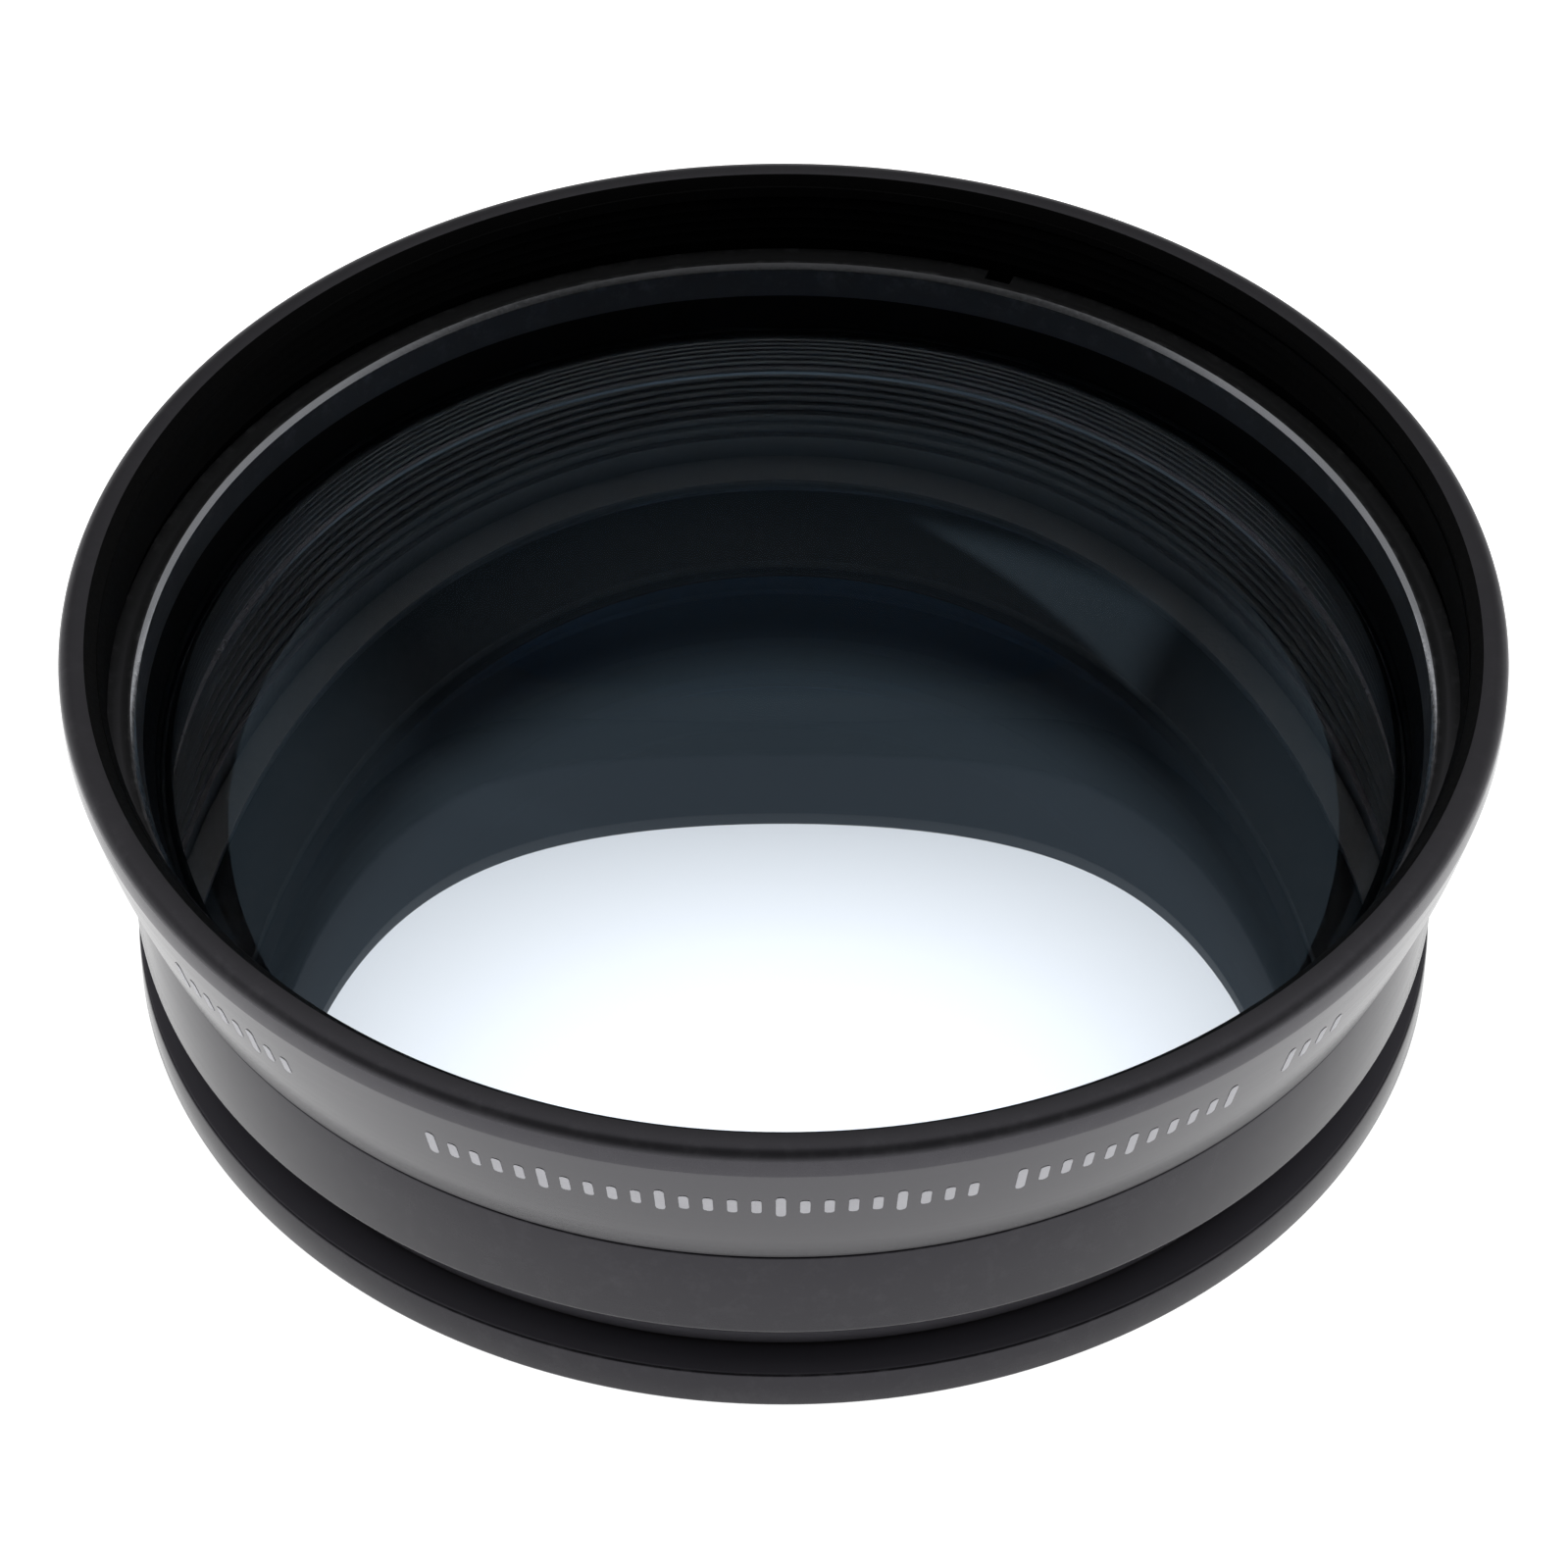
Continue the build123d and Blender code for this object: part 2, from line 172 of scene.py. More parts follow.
def makerTree(name, inputs):
    # inputs are (name, socket type, default); the first socket of every tree is its geometry
    tree = bpy.data.node_groups.new(name, "GeometryNodeTree")
    tree.interface.new_socket("Geometry", in_out="INPUT", socket_type="NodeSocketGeometry")
    tree.interface.new_socket("Geometry", in_out="OUTPUT", socket_type="NodeSocketGeometry")
    for label, kind, value in inputs:
        socket = tree.interface.new_socket(label, in_out="INPUT", socket_type=kind)
        if value is not None:
            socket.default_value = value
    return tree, tree.nodes.new("NodeGroupInput"), tree.nodes.new("NodeGroupOutput")


def calc(tree, operation, first, second=None, third=None):
    # One maths node; its inputs are sockets or plain numbers
    made = tree.nodes.new("ShaderNodeMath")
    made.operation = operation
    for place, value in enumerate((first, second, third)):
        if value is None:
            continue
        if isinstance(value, (int, float)):
            made.inputs[place].default_value = value
        else:
            tree.links.new(value, made.inputs[place])
    return made.outputs[0]


def vector(tree, x=0.0, y=0.0, z=0.0):
    made = tree.nodes.new("ShaderNodeCombineXYZ")
    for place, value in enumerate((x, y, z)):
        if isinstance(value, (int, float)):
            made.inputs[place].default_value = value
        else:
            tree.links.new(value, made.inputs[place])
    return made.outputs[0]


def closeTree(tree, geometry, material, output):
    realize = tree.nodes.new("GeometryNodeRealizeInstances")
    finish = tree.nodes.new("GeometryNodeSetMaterial")
    tree.links.new(geometry, realize.inputs["Geometry"])
    tree.links.new(realize.outputs["Geometry"], finish.inputs["Geometry"])
    tree.links.new(material, finish.inputs["Material"])
    tree.links.new(finish.outputs["Geometry"], output.inputs[0])


def grow(name, tree, values, sharpAngle=32):
    # Runs a tree once and keeps its result as a plain closed mesh
    carrier = addPiece(name, bpy.data.meshes.new(name))
    modifier = carrier.modifiers.new("maker", "NODES")
    modifier.node_group = tree
    for item in tree.interface.items_tree:
        if item.in_out == "INPUT" and item.name in values:
            modifier[item.identifier] = values[item.name]
    graph = bpy.context.evaluated_depsgraph_get()
    mesh = bpy.data.meshes.new_from_object(carrier.evaluated_get(graph), depsgraph=graph)
    carrier.modifiers.remove(modifier)
    carrier.data = mesh
    shape = bmesh.new()
    shape.from_mesh(mesh)
    bmesh.ops.recalc_face_normals(shape, faces=shape.faces)
    shape.to_mesh(mesh)
    shape.free()
    mesh.polygons.foreach_set("use_smooth", [True] * len(mesh.polygons))
    mesh.set_sharp_from_angle(angle=math.radians(sharpAngle))
    return carrier


def threadTree():
    # A ridge wound on a wall: outward for a male thread, inward for a female one
    tree, given, output = makerTree("screwThread", [
        ("Wall Radius", "NodeSocketFloat", 0.03), ("Ridge Height", "NodeSocketFloat", 0.0004),
        ("Root Width", "NodeSocketFloat", 0.0007), ("Crest Width", "NodeSocketFloat", 0.0001),
        ("Pitch", "NodeSocketFloat", 0.00075), ("Turns", "NodeSocketFloat", 5.0),
        ("Foot", "NodeSocketFloat", 0.0), ("Side", "NodeSocketFloat", 1.0),
        ("Steps", "NodeSocketInt", 144), ("Fade", "NodeSocketFloat", 0.04),
        ("Material", "NodeSocketMaterial", None)])
    link = tree.links.new
    ask = given.outputs
    spiral = tree.nodes.new("GeometryNodeCurveSpiral")
    link(ask["Steps"], spiral.inputs["Resolution"])
    link(ask["Turns"], spiral.inputs["Rotations"])
    link(ask["Wall Radius"], spiral.inputs["Start Radius"])
    link(ask["Wall Radius"], spiral.inputs["End Radius"])
    link(calc(tree, "MULTIPLY", ask["Pitch"], ask["Turns"]), spiral.inputs["Height"])
    upright = tree.nodes.new("GeometryNodeSetCurveNormal")
    upright.mode = "Z_UP"
    link(spiral.outputs[0], upright.inputs["Curve"])
    ridge = tree.nodes.new("GeometryNodeCurvePrimitiveQuadrilateral")
    ridge.mode = "TRAPEZOID"
    link(ask["Root Width"], ridge.inputs["Bottom Width"])
    link(ask["Crest Width"], ridge.inputs["Top Width"])
    link(ask["Ridge Height"], ridge.inputs["Height"])
    ridge.inputs["Offset"].default_value = 0.0
    turn = tree.nodes.new("GeometryNodeTransform")
    lean = calc(tree, "MULTIPLY_ADD", ask["Side"], -math.pi / 2, math.pi / 2)
    link(ridge.outputs[0], turn.inputs["Geometry"])
    link(vector(tree, z=lean), turn.inputs["Rotation"])
    rise = calc(tree, "MULTIPLY", ask["Ridge Height"], 0.42)  # its root stays in the wall
    link(vector(tree, y=calc(tree, "MULTIPLY", rise, ask["Side"])), turn.inputs["Translation"])
    along = tree.nodes.new("GeometryNodeSplineParameter")
    fromEnd = calc(tree, "SUBTRACT", 1.0, along.outputs["Factor"])
    nearest = calc(tree, "MINIMUM", along.outputs["Factor"], fromEnd)
    share = calc(tree, "DIVIDE", nearest, ask["Fade"])
    fade = calc(tree, "MAXIMUM", calc(tree, "MINIMUM", share, 1.0), 0.05)
    sweep = tree.nodes.new("GeometryNodeCurveToMesh")
    link(upright.outputs[0], sweep.inputs["Curve"])
    link(turn.outputs[0], sweep.inputs["Profile Curve"])
    link(fade, sweep.inputs["Scale"])
    sweep.inputs["Fill Caps"].default_value = True
    place = tree.nodes.new("GeometryNodeTransform")
    link(sweep.outputs[0], place.inputs["Geometry"])
    link(vector(tree, z=ask["Foot"]), place.inputs["Translation"])
    closeTree(tree, place.outputs[0], ask["Material"], output)
    return tree


def ringTree():
    # Copies of one finished piece, spaced evenly round the axis
    tree, given, output = makerTree("roundTheAxis", [
        ("Piece", "NodeSocketObject", None), ("Count", "NodeSocketInt", 3),
        ("First Angle", "NodeSocketFloat", 0.0), ("Level", "NodeSocketFloat", 0.0),
        ("Material", "NodeSocketMaterial", None)])
    link = tree.links.new
    ask = given.outputs
    points = tree.nodes.new("GeometryNodePoints")
    link(ask["Count"], points.inputs["Count"])
    link(vector(tree, z=ask["Level"]), points.inputs["Position"])
    number = tree.nodes.new("GeometryNodeInputIndex").outputs[0]
    step = calc(tree, "DIVIDE", 2 * math.pi, ask["Count"])
    angle = calc(tree, "MULTIPLY_ADD", number, step, ask["First Angle"])
    source = tree.nodes.new("GeometryNodeObjectInfo")
    link(ask["Piece"], source.inputs["Object"])
    copies = tree.nodes.new("GeometryNodeInstanceOnPoints")
    link(points.outputs[0], copies.inputs["Points"])
    link(source.outputs["Geometry"], copies.inputs["Instance"])
    link(vector(tree, z=angle), copies.inputs["Rotation"])
    closeTree(tree, copies.outputs[0], ask["Material"], output)
    return tree


def markTree():
    # Painted index marks along an arc of the cone, every fifth one taller
    tree, given, output = makerTree("indexMarks", [
        ("Radius", "NodeSocketFloat", 0.036), ("Level", "NodeSocketFloat", 0.02),
        ("Lean", "NodeSocketFloat", 0.3), ("First Angle", "NodeSocketFloat", 0.0),
        ("Step", "NodeSocketFloat", 0.02), ("Count", "NodeSocketInt", 10),
        ("Width", "NodeSocketFloat", 0.00025), ("Height", "NodeSocketFloat", 0.001),
        ("Tall Share", "NodeSocketFloat", 1.5), ("Tall Every", "NodeSocketInt", 5),
        ("Paint Depth", "NodeSocketFloat", 0.00008), ("Material", "NodeSocketMaterial", None)])
    link = tree.links.new
    ask = given.outputs
    number = tree.nodes.new("GeometryNodeInputIndex").outputs[0]
    angle = calc(tree, "MULTIPLY_ADD", number, ask["Step"], ask["First Angle"])
    east = calc(tree, "MULTIPLY", calc(tree, "COSINE", angle), ask["Radius"])
    north = calc(tree, "MULTIPLY", calc(tree, "SINE", angle), ask["Radius"])
    points = tree.nodes.new("GeometryNodePoints")
    link(ask["Count"], points.inputs["Count"])
    link(vector(tree, east, north, ask["Level"]), points.inputs["Position"])
    outline = tree.nodes.new("GeometryNodeCurvePrimitiveQuadrilateral")
    link(ask["Width"], outline.inputs["Width"])
    link(ask["Height"], outline.inputs["Height"])
    soft = tree.nodes.new("GeometryNodeFilletCurve")
    soft.mode = "POLY"
    link(outline.outputs[0], soft.inputs["Curve"])
    link(calc(tree, "MULTIPLY", ask["Width"], 0.35), soft.inputs["Radius"])
    soft.inputs["Count"].default_value = 2
    # three quarters of the paint's depth lie under the wall
    path = tree.nodes.new("GeometryNodeCurvePrimitiveLine")
    link(vector(tree, x=calc(tree, "MULTIPLY", ask["Paint Depth"], -0.75)), path.inputs["Start"])
    link(vector(tree, x=calc(tree, "MULTIPLY", ask["Paint Depth"], 0.25)), path.inputs["End"])
    upright = tree.nodes.new("GeometryNodeSetCurveNormal")
    upright.mode = "Z_UP"
    link(path.outputs[0], upright.inputs["Curve"])
    mark = tree.nodes.new("GeometryNodeCurveToMesh")
    link(upright.outputs[0], mark.inputs["Curve"])
    link(soft.outputs[0], mark.inputs["Profile Curve"])
    mark.inputs["Fill Caps"].default_value = True
    turnOf = calc(tree, "MODULO", number, ask["Tall Every"])
    isTall = calc(tree, "LESS_THAN", turnOf, 0.5)
    tall = calc(tree, "SUBTRACT", ask["Tall Share"], 1.0)
    copies = tree.nodes.new("GeometryNodeInstanceOnPoints")
    link(points.outputs[0], copies.inputs["Points"])
    link(mark.outputs[0], copies.inputs["Instance"])
    link(vector(tree, y=ask["Lean"], z=angle), copies.inputs["Rotation"])
    link(vector(tree, 1.0, 1.0, calc(tree, "MULTIPLY_ADD", isTall, tall, 1.0)),
         copies.inputs["Scale"])
    closeTree(tree, copies.outputs[0], ask["Material"], output)
    return tree


print("maker's tools ready")


# Finishes

def newMaterial(name):
    material = bpy.data.materials.new(name)
    material.use_nodes = True
    tree = material.node_tree
    tree.nodes.clear()
    return material, tree


def node(tree, kind, **settings):
    # in_Some_Input gives that input's value, or the output that feeds it
    made = tree.nodes.new(kind)
    for key, value in settings.items():
        if not key.startswith("in_"):
            setattr(made, key, value)
            continue
        socket = made.inputs[key[3:].replace("_", " ")]
        if isinstance(value, bpy.types.NodeSocket):
            tree.links.new(value, socket)
        else:
            socket.default_value = value
    return made


def closeMaterial(material, tree, surface):
    node(tree, "ShaderNodeOutputMaterial", in_Surface=surface.outputs[0])
    return material


def objectPlace(tree):
    return node(tree, "ShaderNodeTexCoord").outputs["Object"]


def noise(tree, place, scale, detail, roughness=0.5):
    made = node(tree, "ShaderNodeTexNoise", in_Vector=place, in_Scale=scale, in_Detail=detail,
                in_Roughness=roughness)
    return made.outputs["Fac"]


def ranged(tree, value, fromMin, fromMax, toMin=0.0, toMax=1.0, soft=False):
    made = node(tree, "ShaderNodeMapRange", in_Value=value, in_From_Min=fromMin,
                in_From_Max=fromMax, in_To_Min=toMin, in_To_Max=toMax,
                interpolation_type="SMOOTHSTEP" if soft else "LINEAR")
    return made.outputs[0]


def blended(tree, share, first, second):
    # first is a colour or the output that gives one
    if isinstance(first, tuple):
        first = (*first, 1)
    made = node(tree, "ShaderNodeMix", data_type="RGBA", in_Factor=share, in_A=first,
                in_B=(*second, 1))
    return made.outputs["Result"]


def turnedCoordinates(tree, acrossScale, driftScale):
    # Coordinates that change only across the turning marks, plus a slow drift round the axis
    place = objectPlace(tree)
    parts = node(tree, "ShaderNodeSeparateXYZ", in_Vector=place).outputs
    flat = node(tree, "ShaderNodeCombineXYZ", in_X=parts["X"], in_Y=parts["Y"])
    length = node(tree, "ShaderNodeVectorMath", operation="LENGTH", in_Vector=flat.outputs[0])
    across = node(tree, "ShaderNodeCombineXYZ", in_X=length.outputs["Value"], in_Y=parts["Z"])
    scaled = node(tree, "ShaderNodeVectorMath", operation="SCALE", in_Vector=across.outputs[0],
                  in_Scale=acrossScale)
    drift = node(tree, "ShaderNodeVectorMath", operation="SCALE", in_Vector=place,
                 in_Scale=driftScale)
    total = node(tree, "ShaderNodeVectorMath", operation="ADD", in_Vector=scaled.outputs[0])
    tree.links.new(drift.outputs[0], total.inputs[1])
    return total.outputs[0], place


def anodised(name, look):
    # Black anodised metal: turning marks, faint clouds, worn edges
    material, tree = newMaterial(name)
    across, place = turnedCoordinates(tree, look["markScale"], look["driftScale"])
    marks = noise(tree, across, 1.0, 3.0, 0.6)
    speckle = noise(tree, place, look["speckleScale"], 2.0)
    tint = blended(tree, noise(tree, place, look["cloudScale"], 4.0), look["colour"],
                   look["colour2"])
    scuffs = ranged(tree, noise(tree, place, look["scuffScale"], 5.0, 0.7), *look["scuffRange"])
    worn = node(tree, "ShaderNodeAttribute", attribute_name=wearName).outputs["Fac"]
    wornShare = calc(tree, "MULTIPLY", calc(tree, "MULTIPLY", worn, scuffs), look["wear"])
    tint = blended(tree, wornShare, tint, look["wearColour"])
    rough = ranged(tree, marks, *noiseMiddle, look["roughness"] - look["roughnessSpread"],
                   look["roughness"] + look["roughnessSpread"])
    relief = calc(tree, "MULTIPLY_ADD", speckle, look["speckle"], marks)
    bump = node(tree, "ShaderNodeBump", in_Strength=look["bump"],
                in_Distance=look["reliefDepth"], in_Height=relief)
    surface = node(tree, "ShaderNodeBsdfPrincipled", in_Base_Color=tint, in_Roughness=rough,
                   in_IOR=look["ior"], in_Specular_IOR_Level=look["specular"],
                   in_Specular_Tint=(*look["sheenTint"], 1), in_Normal=bump.outputs[0])
    return closeMaterial(material, tree, surface)


def glassMaterial(name, look):
    # Polished glass: what bends through it and what its coating mirrors, under a trace of dust
    material, tree = newMaterial(name)
    dust = noise(tree, objectPlace(tree), look["dustScale"], 5.0)
    haze = ranged(tree, dust, *look["dustRange"], 0.0, look["haze"])
    bend = node(tree, "ShaderNodeBsdfRefraction", in_IOR=look["ior"], in_Roughness=haze,
                in_Color=(*look["body"], 1))
    mirror = node(tree, "ShaderNodeBsdfGlossy", in_Roughness=haze,
                  in_Color=(*look["coatingTint"], 1))
    fresnel = node(tree, "ShaderNodeFresnel", in_IOR=look["ior"])
    mixed = node(tree, "ShaderNodeMixShader")
    share = calc(tree, "POWER", fresnel.outputs[0], look["coatingPower"])
    for place, source in enumerate((share, bend.outputs[0], mirror.outputs[0])):
        tree.links.new(source, mixed.inputs[place])
    return closeMaterial(material, tree, mixed)


def cementMaterial(name, look):
    # The cemented faces bend no light, so the two elements act as one lens
    material, tree = newMaterial(name)
    cloud = noise(tree, objectPlace(tree), look["cloudScale"], 3.0)
    surface = node(tree, "ShaderNodeBsdfPrincipled", in_Base_Color=(*look["colour"], 1),
                   in_Roughness=look["roughness"],
                   in_Alpha=ranged(tree, cloud, *look["cloudRange"], 0.0, look["haze"]))
    return closeMaterial(material, tree, surface)


def plainFinish(name, look):
    # Paint, rubber and bare metal: mottled colour, uneven roughness, fine grain
    material, tree = newMaterial(name)
    place = objectPlace(tree)
    grain = noise(tree, place, look["grainScale"], 3.0)
    tint = blended(tree, noise(tree, place, look["cloudScale"], 4.0), look["colour"],
                   look["colour2"])
    rough = ranged(tree, grain, *noiseMiddle, look["roughness"] - look["roughnessSpread"],
                   look["roughness"] + look["roughnessSpread"])
    bump = node(tree, "ShaderNodeBump", in_Strength=look["bump"],
                in_Distance=look["reliefDepth"], in_Height=grain)
    surface = node(tree, "ShaderNodeBsdfPrincipled", in_Base_Color=tint, in_Roughness=rough,
                   in_Metallic=look["metallic"], in_Specular_IOR_Level=look["specular"],
                   in_Normal=bump.outputs[0])
    return closeMaterial(material, tree, surface)


barrelLook = {"colour": (0.0125, 0.0118, 0.0142), "colour2": (0.0175, 0.0165, 0.0195),
              "markScale": 9000.0, "driftScale": 14.0, "cloudScale": 90.0,
              "speckleScale": 5200.0, "speckle": 0.6, "bump": 0.12, "reliefDepth": 0.00002,
              "roughness": 0.18, "roughnessSpread": 0.04, "ior": 1.5, "specular": 0.5,
              "sheenTint": (0.92, 0.89, 1.0), "scuffScale": 900.0, "scuffRange": (0.5, 0.72),
              "wear": 0.35, "wearColour": (0.09, 0.088, 0.095)}
ringLook = dict(barrelLook, colour=(0.024, 0.0245, 0.025), colour2=(0.031, 0.032, 0.033),
                roughness=0.36, wear=0.9, wearColour=(0.16, 0.165, 0.17))
rearRingLook = dict(ringLook, colour=(0.004, 0.004, 0.0045), colour2=(0.007, 0.007, 0.008),
                    wear=0.0, specular=0.12, roughness=0.55)
barrelBlack = anodised("barrelBlack", barrelLook)
bandBlack = anodised("bandBlack", dict(barrelLook, specular=0.3))
rimBlack = anodised("rimBlack", dict(barrelLook, colour=(0.026, 0.0255, 0.028),
                                     colour2=(0.034, 0.033, 0.037), roughness=0.36))
# a lighter, bluish copy of the barrel's black for the collar's lens bore: painted light from the
# floor seen through the glass
boreBlackPaintedLight = anodised("boreBlackPaintedLight", dict(barrelLook, colour=(0.03, 0.036, 0.042),
                                       colour2=(0.038, 0.045, 0.052), roughness=0.4))
# a lighter copy of the barrel's black for the groove and the flange top: painted light in a shaded
# recess
grooveBlackPaintedLight = anodised("grooveBlackPaintedLight", dict(barrelLook, colour=(0.075, 0.073, 0.084),
                                           colour2=(0.095, 0.092, 0.105), roughness=0.5))
ringBlack = anodised("ringBlack", ringLook)
rearRingBlack = anodised("rearRingBlack", rearRingLook)

frontGlassLook = {"ior": 1.70, "body": (0.996, 0.998, 1.0), "coatingTint": (0.55, 0.78, 1.0),
                  "coatingPower": 1.2, "dustScale": 60.0, "dustRange": (0.45, 0.8),
                  "haze": 0.012}
rearGlassLook = dict(frontGlassLook, ior=1.698, coatingTint=(0.6, 0.8, 1.0), coatingPower=2.1,
                     body=(0.999, 0.999, 1.0))
frontGlass = glassMaterial("frontCoatedGlass", frontGlassLook)
rearGlass = glassMaterial("rearCoatedGlass", rearGlassLook)
opticalCement = cementMaterial("opticalCement", {
    "colour": (0.5, 0.55, 0.6), "roughness": 0.3, "cloudScale": 40.0, "cloudRange": (0.4, 0.8),
    "haze": 0.004})

inkLook = {"colour": (0.004, 0.004, 0.004), "colour2": (0.008, 0.008, 0.008),
           "cloudScale": 300.0, "grainScale": 3000.0, "roughness": 0.75,
           "roughnessSpread": 0.06, "bump": 0.3, "reliefDepth": 0.00003, "metallic": 0.0,
           "specular": 0.2}
metalLook = dict(inkLook, grainScale=5000.0, roughness=0.35, bump=0.15, metallic=1.0,
                 specular=0.5)
edgeInk = plainFinish("edgeInk", inkLook)
# the rear lens's edge gets a lighter copy of the edge ink: painted light seen through the glass
rearEdgeInkPaintedLight = plainFinish("rearEdgeInkPaintedLight", dict(
    inkLook, colour=(0.034, 0.036, 0.039), colour2=(0.046, 0.048, 0.052), roughness=0.6,
    specular=0.3))
mouthBlack = plainFinish("mouthBlack", dict(
    inkLook, colour=(0.0012, 0.0012, 0.0013), colour2=(0.0026, 0.0026, 0.0028),
    cloudScale=350.0, grainScale=3800.0, roughness=0.55, bump=0.4, specular=0.05))
baffleBlack = plainFinish("baffleBlack", dict(
    inkLook, colour=(0.008, 0.010, 0.012), colour2=(0.014, 0.017, 0.020), cloudScale=400.0,
    grainScale=4000.0, roughness=0.46, specular=0.27))
flatPaint = plainFinish("flatPaint", dict(
    inkLook, colour=(0.018, 0.0195, 0.022), colour2=(0.027, 0.029, 0.032), cloudScale=400.0,
    grainScale=4000.0, roughness=0.5, bump=0.4, specular=0.5))
sealRubber = plainFinish("sealRubber", dict(
    inkLook, cloudScale=500.0, grainScale=2500.0, roughness=0.65, bump=0.35))
markPaint = plainFinish("markPaint", dict(
    inkLook, colour=(0.42, 0.42, 0.45), colour2=(0.52, 0.52, 0.55), cloudScale=700.0,
    grainScale=5000.0, roughness=0.5, specular=0.4))
brightEdge = plainFinish("brightEdge", dict(
    metalLook, colour=(0.34, 0.35, 0.37), colour2=(0.46, 0.47, 0.5), cloudScale=500.0,
    roughness=0.16))
shimBrass = plainFinish("shimBrass", dict(
    metalLook, colour=(0.5, 0.36, 0.14), colour2=(0.62, 0.46, 0.2)))
blackSteel = plainFinish("blackSteel", dict(
    metalLook, colour=(0.03, 0.03, 0.032), colour2=(0.05, 0.05, 0.055), cloudScale=800.0,
    grainScale=6000.0, metallic=0.6))
print("finishes made")


# Levels shared with the solids, in millimetres above the collar's end

flangeFoot = 5.804
flangeFace = 8.204
grooveTop = 11.204
bandTop = 17.204
rimTop = 28.105
ringLedge = 23.305
ringFoot = 21.455
ledgeLevel = 4.174
lipFoot = 3.824
boreFoot = 6.004
shoulderLevel = 12.404
spigotTop = 12.204
skirtFoot = 13.294
seatLevel = 18.064
screwLevel = 9.704
mouthRadius = 36.0
clearRadius = 33.4
flangeRadius = 35.0


# Front barrel

frontBarrelSizes = {"rimRadius": 38.0, "rimRounding": 1.3, "mouthChamfer": 0.6,
                    "flareFoot": 35.1, "flareTop": 26.4, "flareBulge": 0.2, "flareSteps": 24,
                    "glassBore": 34.45, "skirtRadius": 33.9, "skirtBore": 32.7,
                    "sealFoot": 16.004, "sealTop": 16.804, "sealDepth": 0.7,
                    "seatWithin": 34.5, "mouthFinish": 0.7, "mouthWithin": 36.75,
                    "rimFinish": 1.1}


def flareArc(sizes):
    # Points of the shallow arc from the barrel's foot up to the rim
    low = Vector((sizes["flareFoot"], bandTop + 0.1))
    high = Vector((sizes["rimRadius"], sizes["flareTop"]))
    chord = high - low
    side = Vector((chord.y, -chord.x)).normalized()
    points = []
    for step in range(sizes["flareSteps"] + 1):
        share = step / sizes["flareSteps"]
        lift = 4 * share * (1 - share) * sizes["flareBulge"]
        spot = low + chord * share + side * lift
        points.append((spot.x, spot.y))
    return points


def frontBarrelPath(sizes):
    flare = flareArc(sizes)
    skirt = sizes["skirtRadius"]
    return softCorners([
        (flare[0][0], flare[0][1], 0.12), *flare[1:-1],
        (sizes["rimRadius"], sizes["flareTop"], 0.3),
        (sizes["rimRadius"], rimTop, sizes["rimRounding"]),
        (mouthRadius + sizes["mouthChamfer"], rimTop, 0.08),
        (mouthRadius, rimTop - sizes["mouthChamfer"], 0.1),
        (mouthRadius, ringFoot), (sizes["glassBore"], ringFoot),
        (sizes["glassBore"], seatLevel), (sizes["skirtBore"], seatLevel, 0.1),
        (sizes["skirtBore"], skirtFoot), (skirt - 0.3, skirtFoot), (skirt, skirtFoot + 0.3),
        (skirt, sizes["sealFoot"]), (skirt - sizes["sealDepth"], sizes["sealFoot"]),
        (skirt - sizes["sealDepth"], sizes["sealTop"]), (skirt, sizes["sealTop"]),
        (skirt, bandTop + 0.1)])


def barrelFinish(r, z):
    # 1 mouth wall and seat, 2 rounded rim, 0 the cone
    sizes = frontBarrelSizes
    if r < mouthRadius + 0.01 and z > ringFoot or r < sizes["seatWithin"]:
        return 1
    if z > rimTop - sizes["mouthFinish"] and r < sizes["mouthWithin"]:
        return 1
    return 2 if z > rimTop - sizes["rimFinish"] else 0


frontBarrelShape = frontBarrelPath(frontBarrelSizes)
frontBarrel = turned("front_barrel_body", frontBarrelShape, [barrelBlack, mouthBlack, rimBlack],
                     finishSpans(frontBarrelShape, barrelFinish))
adopt(frontBarrel, "barrel", "front_barrel")

threads = threadTree()
mouthThread = grow("mouth_thread", threads, {
    "Wall Radius": mouthRadius * mm, "Ridge Height": 0.45 * mm, "Root Width": 0.68 * mm,
    "Crest Width": 0.1 * mm, "Pitch": 0.75 * mm, "Turns": 5.0, "Foot": (ringLedge + 0.42) * mm,
    "Side": -1.0, "Steps": 180, "Fade": 0.05, "Material": mouthBlack})
adopt(mouthThread, "barrel")
print("front barrel made")


# Index marks round the cone

markSizes = {"level": 23.4, "height": 1.35, "width": 0.5, "step": 1.2, "tallShare": 1.5,
             "arcs": ((-55.0, -41.0), (-27.9, 14.8), (18.4, 38.2), (42.9, 49.4))}


def coneAt(level, sizes):
    # Radius and lean of the flared wall at a level
    arc = flareArc(sizes)
    for low, high in zip(arc, arc[1:]):
        if low[1] <= level <= high[1]:
            share = (level - low[1]) / (high[1] - low[1])
            radius = low[0] + share * (high[0] - low[0])
            return radius, math.atan2(high[0] - low[0], high[1] - low[1])
    return arc[-1][0], 0.0


markRadius, markLean = coneAt(markSizes["level"], frontBarrelSizes)
marksTree = markTree()
markPieces = []
for number, (first, last) in enumerate(markSizes["arcs"]):
    stepAngle = markSizes["step"] / markRadius
    count = int(math.radians(last - first) / stepAngle) + 1
    markPieces.append(grow("index_marks_" + str(number + 1), marksTree, {
        "Radius": markRadius * mm, "Level": markSizes["level"] * mm, "Lean": markLean,
        "First Angle": math.radians(first - 90), "Step": stepAngle, "Count": count,
        "Width": markSizes["width"] * mm, "Height": markSizes["height"] * mm,
        "Tall Share": markSizes["tallShare"], "Tall Every": 5, "Paint Depth": 0.08 * mm,
        "Material": markPaint}))
for piece in markPieces:
    adopt(piece, "barrel")
print("index marks made")


# Rings in front of the glass

